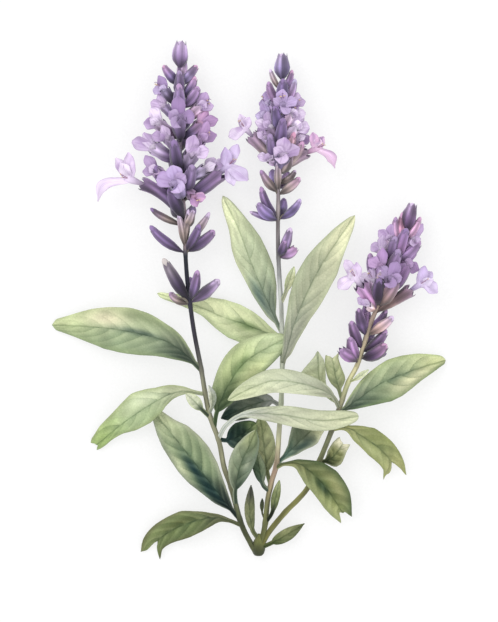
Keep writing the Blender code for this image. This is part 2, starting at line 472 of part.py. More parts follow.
def tube(path, radii, sides, flatness=1.0, turn=0.0):
    """A closed tube along a row of points, with a radius at each and flat ends."""
    path = np.asarray(path, dtype=float)
    tangents = directions(path)
    normal = unit(np.cross(tangents[0], [0.31, 0.17, 0.93]))
    solid = Solid()
    points = []
    for centre, tangent, radius in zip(path, tangents, radii):
        normal = unit(normal - tangent * normal.dot(tangent))
        across = np.cross(tangent, normal)
        for i in range(sides):
            angle = 2 * math.pi * i / sides + turn
            points.append(centre + radius * (math.cos(angle) * normal
                                             + flatness * math.sin(angle) * across))
    faces = [tuple(range(sides))[::-1]]
    for ring in range(len(path) - 1):
        for i in range(sides):
            j = (i + 1) % sides
            low, high = ring * sides, (ring + 1) * sides
            faces.append((low + i, low + j, high + j, high + i))
    faces.append(tuple((len(path) - 1) * sides + i for i in range(sides)))
    solid.add(points, faces)
    return solid


def sheet(grid, thickness):
    """A closed blade round a grid of mid-surface points, split into triangles alike on both faces.

    grid[i][j] runs along the blade with i and from its left margin to its right one with j;
    thickness has the same shape.
    """
    grid = np.asarray(grid, dtype=float)
    along, across = np.gradient(grid, axis=0), np.gradient(grid, axis=1)
    normals = np.cross(across, along)
    normals /= np.linalg.norm(normals, axis=2)[..., None]
    half = np.asarray(thickness)[..., None] / 2
    rows, columns = grid.shape[:2]
    upper = (grid + normals * half).reshape(-1, 3)
    lower = (grid - normals * half).reshape(-1, 3)
    count = rows * columns
    faces = []
    for i in range(rows - 1):
        for j in range(columns - 1):
            a, b = i * columns + j, i * columns + j + 1
            d, c = a + columns, b + columns
            pair = ((a, b, c), (a, c, d)) if (i + j) % 2 else ((a, b, d), (b, c, d))
            for face in pair:
                faces.append(face)
                faces.append(tuple(k + count for k in reversed(face)))
    rim = list(range(columns))
    rim += [i * columns + columns - 1 for i in range(1, rows)]
    rim += [(rows - 1) * columns + j for j in range(columns - 2, -1, -1)]
    rim += [i * columns for i in range(rows - 2, 0, -1)]
    for here, ahead in zip(rim, rim[1:] + rim[:1]):
        faces.append((ahead, here, here + count, ahead + count))
    solid = Solid()
    solid.add(list(upper) + list(lower), faces)
    return solid


# --- leaves ---

MARGIN_TEETH = 0.045       # how far the margin's teeth stand out, as a share of the half width
START_STEP = 0.004         # of a leaf's length, when its petiole is cut back from the stem
MIDRIB_POINTS = 81
# How finely a blade is divided, as the least width and the points along and across.
BLADE_DIVISIONS = ((15.0, 13, 5), (9.0, 11, 5), (0.0, 9, 3))


def stem_lines():
    """The three stems' centrelines as rows of points."""
    return [sampled_curve(points, 60) for points in (LEFT_STEM, MIDDLE_STEM, RIGHT_STEM)]


def petiole_start(leaf, lines):
    """Share of the midrib's length at which the petiole clears the stem it grows from."""
    clearance = STEM_RADIUS + petiole_width(leaf) / 2 + GAP
    share = 0.0
    while min(distance_to_line(smooth_curve(leaf.midrib, share), line) for line in lines) < clearance:
        share += START_STEP
    return share


def petiole_width(leaf):
    """A narrow leaf has a petiole in proportion."""
    return min(PETIOLE_WIDTH, 0.45 * leaf.width)


def blade_share(leaf, u):
    """Share of the blade's own length at the shares u of the whole leaf, 0 on the petiole."""
    return np.clip((u - leaf.petiole) / (1 - leaf.petiole), 0, 1)


def outline(leaf, u, v):
    """Half width of the leaf at the shares u of its length, on the side that v's sign gives."""
    if leaf.left:
        return np.where(v < 0, np.interp(u, SIDE_SHARES, leaf.left),
                        np.interp(u, SIDE_SHARES, leaf.right))
    s = blade_share(leaf, u)
    slender = np.where(s < leaf.widest, leaf.base, leaf.point)
    shape = ((s / leaf.widest) ** leaf.widest
             * ((1 - s) / (1 - leaf.widest)) ** (1 - leaf.widest)) ** slender
    depth, lobes = leaf.cleft
    if depth:
        shape = np.where(s > leaf.widest, np.maximum(shape, lobes), shape)
    least = np.where(s < 0.5, petiole_width(leaf), TIP_WIDTH) / 2
    return np.maximum(shape * leaf.width / 2, least)


def leaf_grid(leaf, start, rows, columns):
    """Mid-surface points of a leaf and the blade's thickness at each."""
    u, v = np.meshgrid(np.linspace(0, 1, rows), np.linspace(-1, 1, columns), indexing="ij")
    teeth = 1 + MARGIN_TEETH * np.where(np.arange(rows) % 2, 1, -1)[:, None] * (np.abs(v) > 0.9)
    half = outline(leaf, u, v) * teeth
    u = u - leaf.cleft[0] * (1 - np.abs(v)) * u ** 6
    places = np.linspace(0, 1, MIDRIB_POINTS)
    path = np.array([smooth_curve(leaf.midrib, start + (1 - start) * place) for place in places])
    tangents = directions(path)
    centre = np.stack([np.interp(u, places, path[:, k]) for k in range(3)], axis=-1)
    tangent = np.stack([np.interp(u, places, tangents[:, k]) for k in range(3)], axis=-1)
    side = np.cross(tangent, [0.0, 0.0, 1.0])
    side /= np.linalg.norm(side, axis=-1)[..., None]
    normal = np.cross(side, tangent)
    s = blade_share(leaf, u)
    edge = np.abs(v) ** 1.5
    wave = np.sin(2 * math.pi * leaf.waves * u + leaf.phase + 2.1 * (v > 0))
    lift = edge * (leaf.fold * half + leaf.wave_height * wave * np.sqrt(np.sin(math.pi * s)))
    grid = centre + side * (v * half)[..., None] + normal * lift[..., None]
    rib = np.maximum(np.clip(1 - 2 * np.abs(v), 0, 1), s <= 0)
    thickness = BLADE_THICKNESS + (RIB_THICKNESS - BLADE_THICKNESS) * rib * (1 - 0.9 * u)
    grid[..., 2] = np.maximum(grid[..., 2], thickness / 2)
    return grid, thickness


def leaf_solid(leaf, lines):
    """The leaf as one closed blade with its petiole, resting on the surface where it meets it."""
    rows, columns = next((rows, columns) for least, rows, columns in BLADE_DIVISIONS
                         if leaf.width > least)
    grid, thickness = leaf_grid(leaf, petiole_start(leaf, lines), rows, columns)
    solid = sheet(grid, thickness)
    for point in solid.points:
        point[2] = max(point[2], 0.0)
    return solid


# --- flowers ---

FLOWER_POINTS = 13         # along a flower, from the axis to its tip
# Which of those points each kind has a ring at, and the rings' radii.
BUD_RINGS = [0, 7, 12]
BUD_RADII = (0.8, 3.5, 1.5)              # from the pedicel to the closed tip
CALYX_RINGS = [0, 6, 12]
CALYX_RADII = (0.8, 2.9, 2.9)            # from the pedicel to the mouth
HOOD_RINGS = [0, 4, 7, 10, 12]
HOOD_RADII = (0.8, 3.1, 2.6, 3.7, 1.9)   # a calyx, its mouth, and the hood that stands in it
MOUTH_POINT = 7            # where the calyx of a hooded flower ends
LIP_LENGTH = 6.4
LIP_WIDTH = 7.0
UPWARD = 0.35              # how far the open flowers turn to face up, as a slope
CALYX_SIDES = 5
BUD_SIDES = 4


def axis_point(line, y):
    """Point of a stem's centreline at a given y, and its direction there."""
    point = np.array([np.interp(y, line[:, 1], line[:, k]) for k in range(3)])
    ahead = np.array([np.interp(y + 2, line[:, 1], line[:, k]) for k in range(3)])
    behind = np.array([np.interp(y - 2, line[:, 1], line[:, k]) for k in range(3)])
    return point, unit(ahead - behind)


def flower_path(flower, line, count):
    """Points from the axis to the flower's tip, which bows outwards and then turns up."""
    base, along = axis_point(line, flower.base)
    tip = np.array(flower.tip)
    reach = tip - base
    outward = reach - along * reach.dot(along)
    control = base + outward * (0.5 + flower.bend) + along * reach.dot(along) * (0.5 - flower.bend)
    t = np.linspace(0, 1, count)[:, None]
    return (1 - t) ** 2 * base + 2 * t * (1 - t) * control + t ** 2 * tip


def flower_solids(flower, line):
    """The closed pieces that one flower of a spike is fused from."""
    path = flower_path(flower, line, FLOWER_POINTS)
    if flower.kind == "bud":
        return [tube(path[BUD_RINGS], np.array(BUD_RADII) * flower.size, BUD_SIDES)]
    if flower.kind == "bloom":
        return [tube(path[CALYX_RINGS], np.array(CALYX_RADII) * flower.size, CALYX_SIDES)]
    hooded = tube(path[HOOD_RINGS], np.array(HOOD_RADII) * flower.size, BUD_SIDES)
    mouth = path[MOUTH_POINT]
    along = unit(mouth - path[MOUTH_POINT - 2])
    _, axis = axis_point(line, flower.base)
    outward = mouth - axis_point(line, mouth[1])[0]
    outward = unit(outward - axis * outward.dot(axis)) + np.array([0.0, 0.0, UPWARD])
    outward = unit(outward - along * outward.dot(along))
    across = unit(np.cross(along, outward))
    root = path[MOUTH_POINT - 1]
    length, width = LIP_LENGTH * flower.size, LIP_WIDTH * flower.size
    rows = [root, root + along * 0.45 * length + outward * 0.35 * length,
            root + along * 0.7 * length + outward * 0.85 * length]
    widths = (0.35 * width, 0.9 * width, 0.7 * width)
    grid = [[row - across * broad / 2, row + across * broad / 2] for row, broad in zip(rows, widths)]
    lip = sheet(grid, np.full((3, 2), PETAL_THICKNESS))
    return [hooded, lip]


def petal(points, widths, face):
    """A blade along a row of points, as wide as given at each, that faces a direction."""
    path = np.asarray(points, dtype=float)
    grid = []
    for centre, tangent, width in zip(path, directions(path), widths):
        across = unit(np.cross(tangent, face))
        grid.append([centre - across * width / 2, centre + across * width / 2])
    return sheet(grid, np.full((len(grid), 2), PETAL_THICKNESS))


def bloom_solids(bloom, line):
    """The closed pieces that one large corolla is fused from: its throat and its lips."""
    calyx = next(flower for flower in SPIKES[bloom.spike]
                 if flower.kind == "bloom" and flower.tip == bloom.mouth)
    path = flower_path(calyx, line, FLOWER_POINTS)
    along = unit(path[-1] - path[-3])
    mouth = path[-1] + along * GAP
    throat = [mouth, mouth + along * 3.5, mouth + along * 7.0]
    size = bloom.size
    solids = [tube(throat, np.array((1.4, 2.4, 1.6)) * size, CALYX_SIDES)]
    heart = throat[1] + along * 1.0
    upward = np.array([0.0, 0.0, 1.0])
    lobes = [(heart, (heart + np.array(point)) / 2, np.array(point)) for point in bloom.upper]
    lobes.append((heart, np.array(bloom.lower[0]), np.array(bloom.lower[1])))
    lobes.append((heart, (heart + np.array(bloom.side)) / 2, np.array(bloom.side)))
    for lobe, widths in zip(lobes, ((3.2, 6.0, 2.2), (3.2, 6.0, 2.2),
                                    (3.2, bloom.lip_width, bloom.end_width), (3.0, 5.6, 2.2))):
        solids.append(petal(lobe, np.array(widths) * size, upward))
    return solids


# --- bodies ---


def material(finish):
    """A Principled material with the finish's colour and roughness, made once."""
    name = "sage_" + finish
    if name in bpy.data.materials:
        return bpy.data.materials[name]
    colour, roughness = FINISHES[finish]
    new = bpy.data.materials.new(name)
    new.use_nodes = True
    shader = new.node_tree.nodes["Principled BSDF"]
    shader.inputs["Base Color"].default_value = (*colour, 1.0)
    shader.inputs["Roughness"].default_value = roughness
    shader.inputs["Metallic"].default_value = 0.0
    return new


def body(name, solid, finish):
    """One object from one closed mesh."""
    mesh = bpy.data.meshes.new(name)
    mesh.from_pydata([tuple(np.array(point) * MM) for point in solid.points], [], solid.faces)
    new = bpy.data.objects.new(name, mesh)
    bpy.context.scene.collection.objects.link(new)
    new.data.materials.append(material(finish))
    return new


def fused_body(name, solids, finish, solver="EXACT"):
    """One object from overlapping closed meshes, joined by a union and cut flat at the surface."""
    first = body(name, solids[0], finish)
    pieces = bpy.data.collections.new(name + "_pieces")
    bpy.context.scene.collection.children.link(pieces)
    for i, solid in enumerate(solids[1:]):
        piece = body(f"{name}_piece_{i}", solid, finish)
        bpy.context.scene.collection.objects.unlink(piece)
        pieces.objects.link(piece)
    union = first.modifiers.new("union", "BOOLEAN")
    union.operation = "UNION"
    union.operand_type = "COLLECTION"
    union.collection = pieces
    union.solver = solver
    graph = bpy.context.evaluated_depsgraph_get()
    joined = bpy.data.meshes.new_from_object(first.evaluated_get(graph))
    first.modifiers.clear()
    old, first.data = first.data, joined
    bpy.data.meshes.remove(old)
    for piece in list(pieces.objects):
        bpy.data.objects.remove(piece)
    bpy.data.collections.remove(pieces)
    cut_at_surface(first.data)
    return first


def cut_at_surface(mesh):
    """Cut away what is below z = 0, close the cuts with flat faces, and keep the outer body."""
    work = bmesh.new()
    work.from_mesh(mesh)
    bmesh.ops.remove_doubles(work, verts=work.verts, dist=1e-6)
    everything = work.verts[:] + work.edges[:] + work.faces[:]
    bmesh.ops.bisect_plane(work, geom=everything, dist=1e-6, plane_co=(0, 0, 0),
                           plane_no=(0, 0, -1), clear_outer=True)
    bmesh.ops.holes_fill(work, edges=[edge for edge in work.edges if edge.is_boundary])
    bmesh.ops.triangulate(work, faces=work.faces[:])
    shells = []
    unseen = set(work.verts)
    while unseen:
        shell = {unseen.pop()}
        frontier = list(shell)
        while frontier:
            vertex = frontier.pop()
            for edge in vertex.link_edges:
                other = edge.other_vert(vertex)
                if other not in shell:
                    shell.add(other)
                    frontier.append(other)
        unseen -= shell
        shells.append(shell)
    shells.sort(key=len)
    for shell in shells[:-1]:
        bmesh.ops.delete(work, geom=list(shell), context="VERTS")
    work.to_mesh(mesh)
    work.free()


STEM_SIDES = 6
LINE_POINTS = 120          # along a stem's centreline, where flowers are set on it
FINE_POINTS = 200          # where its ends are found
END_CLEARANCE = 4.0        # the last ring before an end stands at least this far from it
SPIKE_TOP = 270.0          # y at which a stem is down to STEM_TIP_RADIUS


def stem_tube(points, end_y):
    """A stem from the crown to where its spike starts, thinner upwards."""
    line = sampled_curve(points, 26)
    line = line[line[:, 1] < end_y - END_CLEARANCE]
    end, _ = axis_point(sampled_curve(points, FINE_POINTS), end_y)
    line = np.vstack([line, end])
    return tube(line, stem_radius(line), STEM_SIDES)


def stem_radius(line):
    """Radius of a stem or an axis at each point of a line, by its height in the bunch."""
    share = np.clip(line[:, 1] / SPIKE_TOP, 0, 1)
    return STEM_RADIUS + (STEM_TIP_RADIUS - STEM_RADIUS) * share


def spike_axis(points, start_y):
    """The axis of a spike, from just above the stem's end to the top."""
    start, _ = axis_point(sampled_curve(points, FINE_POINTS), start_y + GAP)
    line = sampled_curve(points, 20)
    line = np.vstack([start, line[line[:, 1] > start_y + END_CLEARANCE]])
    return tube(line, stem_radius(line), STEM_SIDES)


def build_stem():
    """The three stems and the crown that they meet in."""
    crown = tube([(0.3, -2.4, 2.8), (0.3, 0.6, 3.1), (0.4, 4.0, 3.8), (0.6, 9.0, 5.0)],
                 (3.2, CROWN_RADIUS, 3.3, 1.6), 10, turn=math.pi / 10)
    stems = [stem_tube(LEFT_STEM, SPIKE_START["left"]),
             stem_tube(MIDDLE_STEM, SPIKE_START["middle"]),
             stem_tube(RIGHT_STEM, SPIKE_START["right"])]
    fused_body("branching_stem", [crown] + stems, "stem")


def build_leaves():
    """Every leaf, each a body of its own."""
    lines = stem_lines()
    for leaf in LEAVES:
        body(leaf.name, leaf_solid(leaf, lines), "leaf")


def build_spikes():
    """The three flower spikes, and the large corollas in the mouths of their calyces."""
    stems = {"left": LEFT_STEM, "middle": MIDDLE_STEM, "right": RIGHT_STEM}
    for side, points in stems.items():
        line = sampled_curve(points, LINE_POINTS)
        solids = [spike_axis(points, SPIKE_START[side])]
        for flower in SPIKES[side]:
            solids += flower_solids(flower, line)
        # The exact solver leaves open edges among so many flowers.
        fused_body("flower_spike_" + side, solids, "calyx", "MANIFOLD")
    for bloom in BLOOMS:
        line = sampled_curve(stems[bloom.spike], LINE_POINTS)
        fused_body(bloom.name, bloom_solids(bloom, line), "petal")


def main():
    """Clear the scene and build the bunch."""
    for old in list(bpy.data.objects):
        bpy.data.objects.remove(old)
    build_stem()
    build_leaves()
    build_spikes()


main()
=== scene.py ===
"""Sage bunch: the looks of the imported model, and its camera, lights and floor.

Design values are millimetres in the bunch's own frame, the same as the CAD source's.
Every leaf, stem, calyx and corolla is rebuilt here at its CAD place with its real surface:
veins, quilting, teeth, ribs and petals are mesh, and the colour rides on the mesh as values.
"""

import math
from typing import NamedTuple

import bpy
import numpy as np
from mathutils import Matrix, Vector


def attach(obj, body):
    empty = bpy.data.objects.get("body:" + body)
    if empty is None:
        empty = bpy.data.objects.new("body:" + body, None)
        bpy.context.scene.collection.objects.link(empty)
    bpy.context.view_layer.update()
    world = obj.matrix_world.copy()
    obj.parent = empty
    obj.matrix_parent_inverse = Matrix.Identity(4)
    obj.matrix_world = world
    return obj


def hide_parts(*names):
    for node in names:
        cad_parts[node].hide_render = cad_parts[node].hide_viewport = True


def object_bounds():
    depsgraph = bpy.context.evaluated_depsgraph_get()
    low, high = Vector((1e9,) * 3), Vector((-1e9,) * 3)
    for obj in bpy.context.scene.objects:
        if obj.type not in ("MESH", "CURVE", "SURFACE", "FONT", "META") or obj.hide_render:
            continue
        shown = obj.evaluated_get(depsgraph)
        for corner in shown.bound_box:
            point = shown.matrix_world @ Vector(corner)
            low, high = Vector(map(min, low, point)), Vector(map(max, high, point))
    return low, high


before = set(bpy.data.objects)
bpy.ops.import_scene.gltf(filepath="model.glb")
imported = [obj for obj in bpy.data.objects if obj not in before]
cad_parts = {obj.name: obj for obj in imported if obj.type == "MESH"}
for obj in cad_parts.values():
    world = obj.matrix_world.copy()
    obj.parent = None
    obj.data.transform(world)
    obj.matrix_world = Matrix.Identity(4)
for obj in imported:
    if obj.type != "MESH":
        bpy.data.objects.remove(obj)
cad_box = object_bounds()

MM = 0.001
UP = np.array([0.0, 0.0, 1.0])

# --- the bunch's own values, the same as the CAD source's ---

STEM_RADIUS = 1.5          # each stem, at the crown
STEM_TIP_RADIUS = 0.9      # the axis of a spike, at its top
PETIOLE_WIDTH = 2.4
GAP = 0.3                  # in the CAD, between pieces that touch on the real plant

# The stems' centrelines from the crown up, each as (x, y, z).
LEFT_STEM = [
    (-0.8, -1.2, 3.4), (-3.8, 4, 4.4), (-9.4, 16, 6.6), (-14.9, 36.3, 9.6), (-18.7, 47.3, 11),
    (-21.5, 61.6, 12.2), (-27, 77.6, 13), (-31.4, 102.3, 13.2), (-35, 121, 13.2), (-37.3, 137, 13.2),
    (-39, 152, 13.2), (-39.9, 166, 13), (-40.2, 183, 12.6), (-41.5, 198, 12.4), (-42.6, 215, 12.2),
    (-42.8, 238, 11.6), (-43.2, 262, 10.8), (-42.6, 273, 10.4),
]
MIDDLE_STEM = [
    (0.4, -1.4, 3.4), (1.6, 4, 4.3), (3.9, 14.5, 6.2), (5.4, 28.6, 8.2), (7.5, 39, 9.8),
    (10.3, 49.5, 11.2), (11.6, 67, 12.4), (12.8, 84, 12.8), (13.4, 104, 13), (13.2, 121.6, 13.2),
    (12.7, 137, 13.2), (11.6, 154.6, 13.2), (11, 170, 13), (11, 184, 12.6), (11.2, 200, 12.2),
    (11.4, 216, 12), (12.6, 236, 11.4), (13.2, 256, 10.6), (13.4, 266, 10.2),
]
RIGHT_STEM = [
    (1.6, 2.5, 4), (6, 10.5, 5.4), (15, 21.8, 7.2), (22.2, 29.2, 8.6), (27.9, 36.5, 9.6),
    (34.1, 51.2, 11.2), (40.7, 67.9, 12.4), (45.7, 82.5, 13), (49.6, 94, 13.2), (54.5, 103.4, 13.2),
    (59, 117, 13), (62.6, 128, 12.6), (67.2, 139, 12.4), (71.3, 152, 12.2), (75.8, 161, 11.8),
    (79.6, 170, 11.2), (82.6, 181, 10.6),
]
STEMS = {"left": LEFT_STEM, "middle": MIDDLE_STEM, "right": RIGHT_STEM}
# How far up each stem the spike starts, as y; the spike's own piece carries on from there.
SPIKE_START = {"left": 131.0, "middle": 156.0, "right": 103.0}


class Leaf(NamedTuple):
    """One leaf: its midrib from the stem to the tip, and the form of its blade."""

    name: str
    midrib: tuple            # points (x, y, z)
    width: float             # of the blade, at its widest
    widest: float = 0.5      # where that is, along the blade
    base: float = 1.7        # greater is slimmer towards the stem
    point: float = 1.7       # greater is slimmer towards the tip
    petiole: float = 0.1     # share of the length that is bare petiole
    fold: float = 0.12       # how far the margins rise, as a share of the half width
    waves: float = 2.5       # waves of the margin along the blade
    wave_height: float = 0.8
    phase: float = 0.0
    cleft: tuple = (0.0, 0.0)    # a cleft tip: its depth and its width, as shares
    left: tuple = ()         # where the sides differ: half widths at SIDE_SHARES of the length
    right: tuple = ()


# Shares of a leaf's length at which the widths of its two sides are given.
SIDE_SHARES = (0.0, 0.06, 0.14, 0.25, 0.37, 0.5, 0.62, 0.74, 0.85, 0.93, 0.98, 1.0)


